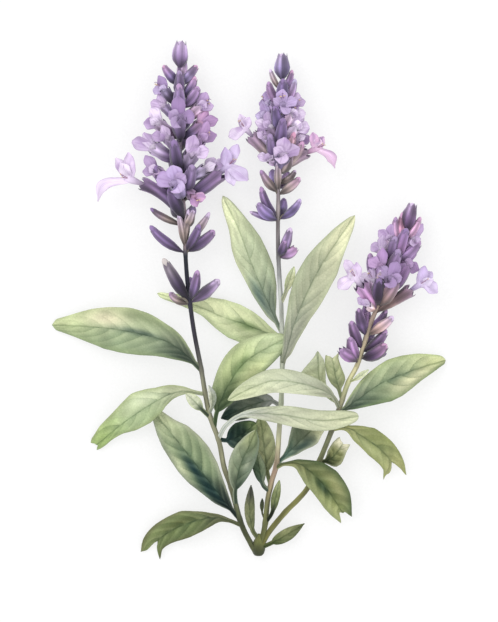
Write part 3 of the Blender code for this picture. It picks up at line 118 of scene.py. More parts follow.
LEAVES = (
    # the left stem
    Leaf("leaf_left_long", ((-31.4, 101, 13.2), (-41, 110.5, 15), (-53, 117.5, 14.5), (-76, 122.6, 9.5),
         (-96, 124.6, 4), (-114.6, 125.4, 0.4)), 25, petiole=0.02, fold=0.14, waves=2, wave_height=1,
         left=(1.2, 3.8, 6.8, 9.4, 11.2, 11.8, 11.6, 8.8, 5.9, 3.9, 2.8, 0.6),
         right=(1.2, 3, 5.6, 8.8, 11.8, 13.2, 12.3, 9.8, 6.6, 4.4, 3.2, 0.6)),
    Leaf("leaf_left_drooping", ((-29.2, 87.5, 13), (-42, 89, 14.5), (-53, 85.2, 13.5), (-72, 73, 8),
         (-91, 57.5, 0.6)), 19.5, petiole=0.14, fold=0.1, waves=3, phase=1, cleft=(0.04, 0.25),
         left=(1.1, 0.9, 2, 3.4, 6.6, 8.6, 7.3, 4.4, 3.2, 3.2, 2.8, 2),
         right=(1.1, 1.4, 3, 5.4, 8.3, 10.5, 9.2, 7.7, 7, 5.2, 4.4, 2.6)),
    Leaf("leaflet_left_axil", ((-26.6, 75, 13), (-31, 79.5, 16), (-35, 84, 18), (-39.5, 88, 18.5)), 6.5,
         fold=0.2, waves=1, wave_height=0.3),
    Leaf("leaflet_left_inner", ((-26.8, 77, 13), (-25.2, 81, 17), (-25, 87, 19), (-27, 92.5, 19.5)),
         4.2, fold=0.2, waves=1, wave_height=0.2),
    Leaf("leaf_low_left", ((-10.4, 18.5, 7), (-22.2, 33.2, 11.2), (-34, 48.5, 11.5), (-45, 62, 8),
         (-57.6, 77, 4)), 21, petiole=0.03, fold=0.16, wave_height=1, phase=0.6,
         left=(1.2, 3, 5.3, 7.2, 9.2, 9.8, 9.5, 8.5, 6.2, 4, 2.6, 0.6),
         right=(1.2, 2.8, 4.6, 7.2, 10.2, 11.5, 11, 9.6, 6, 4.4, 3.4, 0.6)),
    Leaf("leaf_base_left", ((-9.2, 14.5, 6.4), (-16, 17.6, 8.5), (-24, 19.2, 9), (-34, 17.4, 8),
         (-47, 12, 5), (-56.5, 4.6, 2.4), (-59.6, -3, 0.8)), 13.5, petiole=0.12, fold=0.1, waves=2,
         phase=2, cleft=(0.14, 0.85), left=(1.1, 1.2, 1.9, 4.7, 6.9, 7.5, 6.9, 5.7, 5.2, 5.2, 5.4, 5.6),
         right=(1, 1, 1.6, 2.6, 5.1, 7.8, 7.8, 7.8, 7.2, 6.4, 6, 6)),
    Leaf("leaf_centre_upright", ((-12.2, 26, 8.4), (-12.5, 35, 13), (-9.5, 49, 16), (-4.5, 60, 16.2),
         (-1.2, 68, 15.6)), 13.5, widest=0.52, base=1.5, petiole=0.06, fold=0.18, waves=2,
         wave_height=0.6, phase=0.5),
    Leaf("leaf_centre_broad", ((-24.2, 68, 12.6), (-22.5, 78, 14.4), (-17, 91, 14.2), (-6, 106, 14.8),
         (16.5, 119, 16.7)), 21, widest=0.52, base=1.4, point=1.3, petiole=0.04, fold=0.06, waves=2.2,
         wave_height=0.7, phase=0.4),
    Leaf("leaf_cross_right", ((-21.8, 63, 12.4), (-17, 71, 17), (-7, 76.8, 19.4), (12, 76.6, 20.4),
         (34, 73.4, 20), (55, 75.6, 18.2)), 11.5, widest=0.62, base=2, point=1.1, waves=3,
         wave_height=0.6),
    Leaf("leaf_curled_underside", ((-22.2, 63, 12.3), (-17, 62, 11), (-9, 65, 11), (-1, 71.5, 10.8)),
         14, widest=0.45, base=1.2, point=1.2, petiole=0.06, fold=-0.08, waves=1.5, wave_height=0.5),
    # the middle stem
    Leaf("leaf_behind_left", ((13.2, 119, 13), (4, 121.5, 8.2), (-8, 126, 5.6), (-20, 130, 4.8),
         (-34, 136, 4.2), (-56, 143, 2)), 21.5, petiole=0.04, fold=0.08, wave_height=0.7, phase=1.2,
         left=(1.2, 4, 7.4, 10.4, 10, 6.6, 3.9, 3, 2.3, 2.2, 1.6, 0.5),
         right=(1.2, 3, 5.6, 8.2, 9.8, 9.4, 6.9, 4.4, 3, 1.6, 1.2, 0.5)),
    Leaf("leaf_upper_left", ((13.2, 121.5, 13.2), (8.5, 131, 10.4), (1.5, 147, 9), (-5, 163, 8),
         (-10.5, 178, 6.6), (-19.5, 197, 5)), 20, petiole=0.04, fold=0.06, wave_height=0.7, phase=0.9,
         left=(1.2, 3.6, 4.6, 6.1, 6.9, 7.8, 7.4, 5.4, 4.2, 3, 1.5, 0.5),
         right=(1, 1.4, 4.5, 8.6, 10.6, 10.4, 9.8, 7.2, 5, 3.2, 1.6, 0.5)),
    Leaf("leaf_upper_right", ((13.4, 104, 13), (16, 113, 20), (21.5, 131, 20.4), (34, 157, 15.5),
         (53.6, 186, 8)), 20, petiole=0.04, fold=0.1, phase=0.3,
         left=(1.2, 2.4, 3.6, 5.2, 8, 9.6, 9.2, 7.8, 5.5, 3.2, 1.7, 0.5),
         right=(1.2, 3.2, 4.2, 6.7, 8.9, 9.9, 10, 7.6, 5.1, 3.4, 1.4, 0.5)),
    Leaf("leaflet_upper_right", ((12.7, 137.5, 13.2), (15, 143, 15.5), (17.4, 150, 15.5),
         (19.8, 157.5, 14.6)), 4.6, fold=0.2, waves=1, wave_height=0.3),
    Leaf("leaf_centre_back", ((6.8, 37.6, 9.6), (5, 45, 7.8), (3.4, 58, 7), (1.2, 75.5, 7.2)), 12.5,
         base=1.4, petiole=0.06, fold=0.06, waves=1.5, wave_height=0.4),
    Leaf("leaflet_centre_dark", ((6.6, 33.5, 9), (2.8, 37.5, 10.8), (0.8, 46, 11.6),
         (-1.2, 56.5, 11.4)), 7, fold=0.1, waves=1, wave_height=0.3),
    Leaf("leaf_hidden_back", ((12.4, 81, 12.8), (6, 83.5, 7), (-6, 80, 4.2), (-20.5, 73.5, 3.6)), 13,
         base=1.3, petiole=0.08, fold=0.06, waves=1.5, wave_height=0.4),
    Leaf("leaf_folded_back", ((10.2, 48.5, 11.2), (14.8, 53, 8.6), (24.5, 62.5, 7.4), (38, 74.5, 7)),
         16, petiole=0.06, fold=0.08, waves=1.5, wave_height=0.5,
         left=(1.1, 1.2, 1.8, 3, 5.8, 9.2, 10.6, 10.4, 8.6, 5.8, 3, 1),
         right=(1.1, 1.8, 2.7, 4.1, 5.1, 6.8, 7.4, 5.9, 4.6, 3, 1.6, 0.6)),
    Leaf("leaf_low_right", ((9.6, 46.5, 11), (14.5, 49.3, 15), (23, 49.3, 17), (34.5, 39.5, 15.4),
         (42.5, 28.5, 11.5), (49, 17.5, 5)), 17.5, petiole=0.16, fold=0.1, waves=2, phase=0.8,
         cleft=(0.15, 0.45), left=(1.1, 0.9, 1.1, 3.9, 8.3, 10.4, 10.1, 9.2, 7.2, 5.2, 4, 3.4),
         right=(1.1, 1.1, 2.2, 4.6, 6.8, 7, 7.2, 7.2, 6, 4.6, 3.8, 3.4)),
    Leaf("leaflet_crown_upright", ((4.2, 16, 6.4), (7.8, 22, 9.8), (9.8, 31, 11.2), (11.8, 40, 11.6)),
         4.6, fold=0.15, waves=1, wave_height=0.2),
    Leaf("leaflet_crown_small", ((4, 17.5, 6.8), (2.5, 21, 7.4), (2.2, 25, 7.6), (2.4, 29.5, 7.6)), 2.2,
         fold=0.15, waves=1, wave_height=0.1),
    # the right stem
    Leaf("leaf_right_long", ((43.6, 76.6, 12.8), (55, 84.8, 14.8), (68, 93.6, 14.2), (88, 101.2, 8.4),
         (104.4, 105.7, 1.4)), 22.5, petiole=0.02, waves=2.2, wave_height=1, phase=0.7,
         left=(1.2, 3.2, 5.5, 7.4, 8.8, 10.4, 10, 8.4, 6, 4.2, 2.6, 1.4),
         right=(1.2, 3.4, 5.6, 8.4, 10.9, 10.7, 8.9, 6.4, 4.2, 2.6, 1.8, 1.2)),
    Leaf("leaf_cross_left", ((45, 79.5, 13), (39.5, 87.5, 18), (26, 93, 21), (9, 95.2, 21.4),
         (-4, 91, 21), (-16.5, 84.5, 20)), 13, base=1.5, point=1.4, petiole=0.05, fold=0.1,
         wave_height=0.6, phase=1.6),
    Leaf("leaf_axil_right_back", ((45.6, 82, 13), (39.4, 85.6, 8.6), (34.2, 94, 6.6), (33.1, 111, 6.2)),
         14, fold=0.06, waves=1.5, wave_height=0.4,
         left=(1, 1, 1, 1.4, 3.6, 8.4, 11, 7.4, 3.8, 1.6, 0.8, 0.4),
         right=(1, 1, 1.2, 1.8, 2.8, 3.4, 3.8, 3.8, 3.2, 1.4, 0.6, 0.3)),
    Leaf("leaf_axil_right_front", ((46.2, 84, 13), (44.4, 90.5, 12.8), (42.3, 99, 12),
         (40.6, 109.5, 10.8)), 9.2, fold=0.15, waves=1.5, wave_height=0.4, phase=2, cleft=(0.09, 0.7),
         left=(1, 1.2, 2.2, 3.4, 4.2, 4.6, 4.6, 4.5, 4.2, 3.8, 3.4, 3.2),
         right=(1, 1.6, 3.2, 4.6, 4.8, 4.4, 4, 3.6, 3.2, 3.4, 3.9, 4.2)),
    Leaf("leaflet_right_axil", ((49.6, 94, 13.2), (53.5, 96, 17.2), (57, 98.6, 18), (60.5, 101, 18)), 3,
         fold=0.15, waves=1, wave_height=0.2),
    Leaf("leaf_right_drooping", ((40.7, 68, 12.4), (49, 69, 14), (58, 63.8, 13.4), (68, 56.4, 9.4),
         (74.6, 48.4, 5.4), (76.2, 41, 2.4)), 13.5, petiole=0.08, fold=0.1, waves=2, phase=0.2,
         cleft=(0.2, 0.9), left=(1.1, 1, 1.9, 5.2, 7.6, 7.6, 7.4, 6.8, 6.2, 6.2, 6.4, 6.4),
         right=(1.1, 1.6, 2.6, 4.6, 5.5, 6.7, 6.6, 6.2, 6, 6.2, 6.5, 6.6)),
    Leaf("leaf_low_right_curled", ((34.1, 50, 11.2), (38.2, 50.8, 9.6), (42.5, 53.8, 8.6),
         (48, 61.5, 8)), 11.5, petiole=0.06, fold=0.16, waves=1, wave_height=0.4, cleft=(0.12, 0.75),
         left=(1.1, 1.6, 2.6, 4, 4.6, 4.9, 5, 5, 4.6, 4.2, 3.8, 3.6),
         right=(1.1, 2, 3.8, 5.6, 6, 5.2, 4.6, 4, 3.8, 3.6, 3.5, 3.4)),
    Leaf("leaflet_crown_right", ((2, 2, 4), (8, 5, 6), (16, 9.2, 5.2), (25.9, 15.1, 3)), 6.8,
         widest=0.42, base=1.3, point=1.9, fold=0.1, waves=1.5, wave_height=0.3),
    Leaf("leaflet_crown_left", ((-0.8, 8.5, 7.9), (-3.2, 13, 9.2), (-4.6, 23, 9.4), (-3.8, 37, 8.8)),
         5.6, fold=0.15, waves=1.5, wave_height=0.3),
)


class Flower(NamedTuple):
    """One calyx on a spike's axis, closed as a bud, or with a hooded corolla in its mouth."""

    kind: str       # "bud", "hood" or "bloom"; a bloom's corolla is a piece of its own
    base: float     # y of the point on the axis that it grows from
    tip: tuple      # (x, y, z) that it reaches
    size: float
    bend: float     # how far it bows away from the axis before it turns up
    tones: str      # the letters of its calyx's colour, and its corolla's or bud tip's


# The flowers of each spike from its lowest whorl up, one to a line:
# kind, base, x, y and z of the tip, size, bend, tones.
SPIKE_ROWS = {
    "left": """
bud 138 -52 162 16 1.05 0.05 Xs
bud 137.5 -21.2 150.5 14 1 0.1 Vp
bud 139 -33 155.5 18 0.85 0.1 Dm
bud 137 -48.6 143.5 9.5 0.7 0.25 Om
bud 139 -37.5 152 4 0.8 0.25 Dd
bud 165 -59.2 180 15 0.85 0.14 Dd
bud 165.5 -24 177.5 13 1 0.12 Dm
bud 166 -32 180.5 17.5 0.85 0.1 Dd
bud 170 -26.6 187.5 13 0.65 0.1 Op
bud 167 -43.6 187 15 0.6 0 Op
bud 168 -38.2 189 15 0.55 0 Op
bud 183 -48.6 200.5 18 1.1 0.1 Xd
bud 180 -59.2 189.8 11 0.65 0.15 Od
bud 178 -35.4 188.5 15 0.75 0.1 Op
hood 199 -33.6 191 19 0.95 0.4 Dk
bud 184 -36 191 0.3 0.9 0.25 Nd
bud 185 -47.5 193 0.3 0.9 0.25 Xd
bloom 182 -65.5 203.6 15 1.2 -0.22 Dm
bloom 194 -20.2 209.4 14.5 1.45 0.05 Dm
hood 195 -46.4 210.5 24.5 1.5 0.2 Bl
bud 197 -35.8 213 21 1.15 0.15 Dq
bud 197 -57 213.5 15 1.1 0.2 Dd
bud 199 -38 209 0.3 1 0.25 Dd
bud 198 -50 207 0.3 1 0.25 Dd
hood 203 -61 217.5 14 1.1 0.25 Mp
hood 205 -24.6 216 15 1.15 0.25 Bw
bud 207 -46 226.5 22 1.15 0.15 Xd
hood 209 -35 227.5 21.5 1.25 0.25 Xp
bud 210 -48 219 0.3 1 0.25 Dd
bud 211 -36 221 0.3 1 0.25 Dd
hood 216 -62 229.6 14 1.3 0.25 Vw
hood 218 -28 236 14.5 1.1 0.25 Vm
hood 221 -52 233.5 18 1 0.25 Vp
bud 222 -42 234 0.3 1 0.25 Vd
hood 226 -43.4 248.5 21 1.3 0.15 Dq
hood 228 -58.2 243.5 13 1.15 0.25 Mw
hood 228 -28.2 243 13 1.1 0.25 Nk
bud 233 -38 245 0.3 0.9 0.25 Nd
hood 239 -54.4 252 12 0.9 0.25 Np
hood 238 -28.8 252 13 1.1 0.25 Kp
bud 241 -43.2 257.5 18 1.05 0.25 Nm
bud 243 -47 255 0.3 0.8 0.25 Dd
hood 247 -54.2 261.5 12 1 0.25 Db
bud 245 -33 256.5 14 0.95 0.25 Vm
bud 250 -34.8 262.5 11 0.85 0.25 Nk
bud 251 -43.2 265 15 0.95 0.25 Dq
bud 257 -52.2 268.5 10.5 0.85 0.05 Nk
bud 257 -33.6 268.5 10.5 0.85 0.05 Bk
bud 262 -41 272 6.5 0.9 0.25 Ld
bud 266 -42.4 281.8 10.5 1.3 0 Vp
""",
    "middle": """
bud 163 17.9 178.8 16 0.85 0.1 Vp
bud 162.5 20.6 168 13 0.95 0.25 Mk
bud 163 14.8 171.5 18 0.75 0.1 Xm
bud 183 1.6 201.5 13 0.8 0.18 Dm
bud 183 0.2 192.5 17 0.95 0.25 Nq
bud 182.5 -4.6 188 9 0.5 0.1 Dp
bud 183.5 23.2 194.8 13 0.75 0.25 Nl
bud 184 14.5 196 0.3 0.9 0.25 Nd
bud 183 5.5 194 0.3 0.8 0.25 Dd
bud 198 1.4 210.5 14 0.72 0.1 Om
bud 197 23 206.5 14 0.8 0.1 Ok
bud 199 10.8 216 18.5 0.62 0.1 Op
bud 203 20.6 210.8 10.5 0.6 0.25 Op
bud 201 8 212 0.3 0.9 0.25 Bd
bud 201 16.5 211 0.3 0.9 0.25 Md
bloom 213 -4 230 14 1.15 0 Om
bloom 210 27.6 220.4 13.5 1.1 -0.1 Om
hood 210 14.4 226 22.5 1.35 0.2 Np
hood 214 5.4 218.6 18 0.85 0.4 Mw
bud 208 17.8 220 19.5 1.05 0.1 Om
bud 212 24.6 226 16.5 0.9 0.25 Uk
bud 213 6.4 230 19 1 0.2 Dq
bud 215 19.8 231 17 0.85 0.25 Or
bud 214 10 224 0.3 0.9 0.25 Dd
hood 221 1.4 234.5 14 1.05 0.25 Vp
hood 221 25.2 234 12 0.9 0.25 Mw
bud 221 13.6 238.5 21 1.1 0.15 Dd
hood 226 5.4 241 17 1 0.25 Mw
hood 226 23.4 241.5 14.5 1.2 0.25 Lw
bud 225 14.5 236 0.3 0.9 0.25 Dd
bud 231 9.4 245.5 19 1 0.15 Nd
hood 232 2.6 247.5 12 0.9 0.25 Vb
hood 233 20.2 247.5 15 1.05 0.25 Kw
hood 237 13.4 253 19 1.1 0.15 Dl
hood 240 4.8 253 11 0.95 0.25 Mb
hood 241 21.6 252.5 11 0.85 0.25 Mp
bud 246 5.8 259.5 11 0.85 0.25 Mm
bud 246 13.8 260.5 15.5 1.05 0.25 Nd
bud 247 20.4 261 11 0.85 0.25 Mb
bud 246 14 258 0.3 0.8 0.25 Dd
bud 254 6.6 266.5 10 0.5 0.1 Op
bud 254 18.8 266 10.5 0.65 0.25 Vk
bud 259.5 13.4 275 10 1.3 0 Bp
""",
    "right": """
bud 105 45.4 112.3 19 1 0.25 Vm
bud 105.5 50.6 119 16 0.95 0.15 Vm
bud 107 70.8 109.8 11 0.55 0.1 Dd
bud 107.5 70.2 115.2 16.5 1.15 0.25 Xk
bud 111 70.6 123 13 0.95 0.25 Xm
bud 112 51.2 127.8 14 0.9 0.1 Dm
bud 107 53 117 6 0.8 0.25 Dd
bud 114 64.5 125.5 0.3 0.9 0.25 Nd
bud 119 55.4 134.8 13 0.85 0.1 Nm
bud 120 74.2 130.2 15 0.9 0.1 Up
bud 123 71 134 10.5 0.75 0.25 Nm
bud 120 60.8 132.5 9 0.85 0.25 Dm
bud 125 60.5 137 0.3 0.9 0.25 Dd
hood 133 59.4 138.6 17.5 0.85 0.3 Uw
bloom 134 55.8 147.4 18.5 1.25 0 Mm
bloom 132 84.6 145 13.5 1.15 0 Om
bud 136 66.2 151 21 1.15 0.1 Xd
bud 136 76.4 151 20 1.2 0.15 Om
bud 135 73 145.5 0.3 0.9 0.25 Dd
hood 140 63.4 157 14 1.05 0.25 Lw
bud 141 67.4 157 19 0.75 0.25 Op
hood 143 75.4 158.6 21.5 1.2 0.25 Dq
bud 143 84 161.5 14 1.15 0.25 Dm
bud 146 76 156 0.3 0.9 0.25 Dd
bud 147 61.8 165 11 0.95 0.25 Nm
hood 147 68 166.5 18.5 1.1 0.25 Nm
hood 151 86 168 13 1.15 0.25 Nm
bud 151 77 167 19.5 1.1 0.25 Dq
hood 156 68.8 173.8 13 1 0.25 Mw
bud 158 75.4 174 17.5 1 0.25 Xq
bud 160 89.2 172 12 1.05 0.25 Bm
hood 162 73.2 179.8 12 0.95 0.25 Lp
bud 163 81.6 178.5 16 1.1 0.25 Vd
hood 165 90.2 180.4 11 0.8 0.25 Vp
bud 163 81 173 0.3 0.8 0.25 Dd
bud 169 76 185 10.5 0.75 0.25 Lm
bud 171 79.6 187.5 10.5 0.65 0.25 Kk
bud 172 89.6 185 10 0.75 0.25 Lk
bud 176 85.3 192.6 10.5 1.25 0 Dp
""",
}


def read_flower(row):
    """One flower from its line of a spike's table."""
    kind, base, x, y, z, size, bend, tones = row.split()
    tip = float(x), float(y), float(z)
    return Flower(kind, float(base), tip, float(size), float(bend), tones)


SPIKES = {side: [read_flower(row) for row in rows.split("\n") if row]
          for side, rows in SPIKE_ROWS.items()}


class Bloom(NamedTuple):
    """A large open corolla: its throat, its upper lip's two points and its lower lip's end."""

    name: str
    spike: str
    tone: str         # the letter of its colour
    mouth: tuple      # the calyx's mouth that it stands in
    upper: tuple      # the points of the upper lip
    lower: tuple      # the middle and the end of the lower lip
    side: tuple       # a point of the side lobe
    size: float = 1.0
    end_width: float = 3.4      # of the lower lip, which may end in a thin tail
    lip_width: float = 8.0      # of the lower lip, at its widest


BLOOMS = (
    Bloom("bloom_left_west", "left", "p", (-65.5, 203.6, 15), ((-77.8, 216.8, 17.5),
          (-70.6, 219.6, 20.5)), ((-84, 202, 18.5), (-87.8, 193.2, 15.5)), (-75, 214, 21.5), 1, 1.2,
          6.2),
    Bloom("bloom_left_east", "left", "l", (-20.2, 209.4, 14.5), ((-11, 224.2, 18.5), (-18, 222.4, 21)),
          ((-11, 209, 19.5), (-5.6, 204.6, 16.5)), (-13.2, 201.6, 18.5)),
    Bloom("bloom_middle_west", "middle", "p", (-4, 230, 14), ((-10, 240.8, 17), (-4.8, 239, 19)),
          ((-10.2, 231.2, 17.5), (-16, 228.4, 15)), (-7.6, 238.4, 19.5), 0.8),
    Bloom("bloom_middle_east", "middle", "k", (27.6, 220.4, 13.5), ((36, 228.6, 16.5),
          (29.8, 230.6, 19.5)), ((39.4, 218, 17), (42.2, 211.4, 14.5)), (33.4, 227.8, 19), 0.85, 1.2,
          6.2),
    Bloom("bloom_right_west", "right", "p", (55.8, 147.4, 18.5), ((47.4, 161, 20.5), (53.6, 159.6, 23)),
          ((49.5, 150, 22), (43.6, 145.4, 20)), (48.8, 155, 24), 0.9),
    Bloom("bloom_right_east", "right", "l", (84.6, 145, 13.5), ((95.4, 154.4, 16.5), (91, 157.8, 19.5)),
          ((92.4, 147.6, 18), (98.4, 143.2, 15)), (95.6, 150.2, 20.5), 0.85),
)
# --- curves, noise and colour ---


def unit(vector):
    """The vector, or each row of vectors, at length 1."""
    vector = np.asarray(vector, dtype=float)
    return vector / np.linalg.norm(vector, axis=-1, keepdims=True)


def curve(points, shares):
    """Points at shares of the length of the Catmull-Rom curve through the points."""
    points = np.asarray(points, dtype=float)
    padded = np.vstack([2 * points[0] - points[1], points, 2 * points[-1] - points[-2]])
    chords = np.linalg.norm(np.diff(points, axis=0), axis=1)
    lengths = np.concatenate([[0.0], np.cumsum(chords)])
    place = np.clip(shares, 0, 1) * lengths[-1]
    span = np.clip(np.searchsorted(lengths, place, side="right") - 1, 0, len(chords) - 1)
    t = ((place - lengths[span]) / chords[span])[:, None]
    a, b, c, d = (padded[span + k] for k in range(4))
    return 0.5 * (2 * b + (c - a) * t + (2 * a - 5 * b + 4 * c - d) * t ** 2
                  + (3 * b - a - 3 * c + d) * t ** 3)


def bowed(start, end, rise):
    """Three points from start to end, of which the middle one stands up by the rise."""
    return start, (start + end) / 2 + UP * rise, end


def directions(path):
    """Unit tangents of a row of points."""
    return unit(np.gradient(path, axis=0))


def carried_frames(path):
    """For each point of a path: its tangent, and two directions across it that don't twist."""
    tangents = directions(path)
    normal = unit(np.cross(tangents[0], [0.31, 0.17, 0.93]))
    normals = []
    for tangent in tangents:
        normal = unit(normal - tangent * normal.dot(tangent))
        normals.append(normal)
    normals = np.array(normals)
    return tangents, normals, np.cross(tangents, normals)


def smooth(low, high, x):
    """0 below low, 1 above high, and an even S between them."""
    t = np.clip((np.asarray(x, dtype=float) - low) / (high - low), 0, 1)
    return t * t * (3 - 2 * t)


def wobble(x, y, seed, fineness=1.0, waves=5):
    """Smooth irregular values between about -1 and 1 over x and y, the same for the same seed."""
    rule = np.random.default_rng(seed)
    total = 0.0
    for _ in range(waves):
        pitch = fineness * rule.uniform(0.7, 1.9)
        heading, start = rule.uniform(0, 2 * math.pi, 2)
        total = total + np.sin(pitch * (np.cos(heading) * x + np.sin(heading) * y) + start)
    return total / waves ** 0.5 * 0.7


def mix(one, other, share):
    """Colours between one and the other; share has one dimension less than the colours."""
    share = np.asarray(share, dtype=float)[..., None]
    return np.asarray(one, dtype=float) * (1 - share) + np.asarray(other, dtype=float) * share


def linear(colour):
    """Display colours from 0 to 255 as the linear values that a shader takes."""
    value = np.clip(np.asarray(colour, dtype=float) / 255, 0, 1)
    return np.where(value <= 0.04045, value / 12.92, ((value + 0.055) / 1.055) ** 2.4)


# --- meshes ---


def grid_quads(rows, columns, closed):
    """Quads of a grid of vertices; closed also joins the last column to the first."""
    i = np.arange(rows - 1)[:, None]
    j = np.arange(columns if closed else columns - 1)[None, :]
    a = i * columns + j
    b = i * columns + (j + 1) % columns
    return np.stack([a, b, b + columns, a + columns], axis=-1).reshape(-1, 4)


class Shape:
    """A mesh in the making: vertices in millimetres, their colours and other values, and quads."""

    VALUES = ("across", "phase", "edge", "under", "force")

    def __init__(self):
        self.points, self.tints, self.faces = [], [], []
        self.values = {name: [] for name in self.VALUES}
        self.count = 0

    def add(self, points, quads, tint, **values):
        """Take in a grid of vertices, with quads that index them from 0."""
        self.points.append(points.reshape(-1, 3))
        self.faces.append(quads + self.count)
        self.tints.append(np.broadcast_to(tint, points.shape).reshape(-1, 3))
        for name in self.VALUES:
            value = np.broadcast_to(values.get(name, 0.0), points.shape[:2])
            self.values[name].append(value.ravel())
        self.count += len(self.points[-1])

    def build(self, name, node, slot, material):
        """The piece as an object that rides the bunch and stands for its CAD node."""
        points = np.vstack(self.points)
        points[:, 2] = np.maximum(points[:, 2], 0.0)
        mesh = bpy.data.meshes.new(name)
        mesh.from_pydata((points * MM).tolist(), [], np.vstack(self.faces).tolist())
        mesh.polygons.foreach_set("use_smooth", np.ones(len(mesh.polygons), dtype=bool))
        tint = mesh.attributes.new("tint", "FLOAT_COLOR", "POINT")
        colours = np.ones((len(points), 4))
        colours[:, :3] = linear(np.vstack(self.tints))
        tint.data.foreach_set("color", colours.ravel())
        for key, chunks in self.values.items():
            layer = mesh.attributes.new(key, "FLOAT", "POINT")
            layer.data.foreach_set("value", np.concatenate(chunks))
        mesh.materials.append(material)
        piece = bpy.data.objects.new(name, mesh)
        bpy.context.scene.collection.objects.link(piece)
        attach(piece, "root")
        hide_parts(node)
        return piece


def rings(centre, radius, turn, normal, across):
    """Rings of points round a row of centres; the radius may also differ round each ring."""
    radius = np.reshape(radius, (len(centre), -1))[..., None]
    return centre[:, None] + radius * (np.cos(turn)[None, :, None] * normal[:, None]
                                       + np.sin(turn)[None, :, None] * across[:, None])


def full_turn(count):
    """Angles once round a ring."""
    return np.linspace(0, 2 * math.pi, count, endpoint=False)


def blade_grid(rows, columns):
    """Shares along a blade from 0 to 1, and places across it from -1 to 1."""
    return np.meshgrid(np.linspace(0, 1, rows), np.linspace(-1, 1, columns), indexing="ij")


def add_tube(shape, grid, tint, **values):
    """A closed skin round rings of points, with the two end rings capped by a centre strip."""
    rows, columns = grid.shape[:2]
    quads = [grid_quads(rows, columns, True)]
    half = columns // 2
    j = np.arange(half - 1)
    low = np.stack([j, columns - 1 - j, columns - 2 - j, j + 1], axis=-1)
    quads.append(low)
    quads.append((low + (rows - 1) * columns)[:, ::-1])
    shape.add(grid, np.vstack(quads), tint, **values)


def add_sheet(shape, middle, thickness, tint, under_tint=None, **values):
    """A thin closed blade round a grid of mid-surface points: rows run along, columns across."""
    along, across = np.gradient(middle, axis=0), np.gradient(middle, axis=1)
    normals = np.cross(across, along)
    normals /= np.maximum(np.linalg.norm(normals, axis=2), 1e-9)[..., None]
    half = np.broadcast_to(np.asarray(thickness, dtype=float), middle.shape[:2])[..., None] / 2
    ring = np.concatenate([middle + normals * half, (middle - normals * half)[:, ::-1]], axis=1)
    shade = np.broadcast_to(tint, middle.shape)
    under = shade if under_tint is None else np.broadcast_to(under_tint, middle.shape)
    doubled = {}
    for name, value in values.items():
        value = np.broadcast_to(value, middle.shape[:2])
        doubled[name] = np.concatenate([value, value[:, ::-1]], axis=1)
    side = np.concatenate([np.zeros(middle.shape[:2]), np.ones(middle.shape[:2])], axis=1)
    add_tube(shape, ring, np.concatenate([shade, under[:, ::-1]], axis=1), under=side, **doubled)


# --- leaves ---


class Tone(NamedTuple):
    """A leaf's display colours, and how strongly shade and light are painted beside its veins and on
    its halves.
    """

    base: tuple              # next to the petiole
    middle: tuple
    tip: tuple
    margin: tuple            # along both edges
    shade: float = 0.4       # painted shade beside the midrib and the side veins
    sides: float = 0.0       # painted shade on one half and painted light on the other: the left half darker below 0, else the right
    patches: tuple = ()      # (share along, place across, length, breadth, colour, strength)
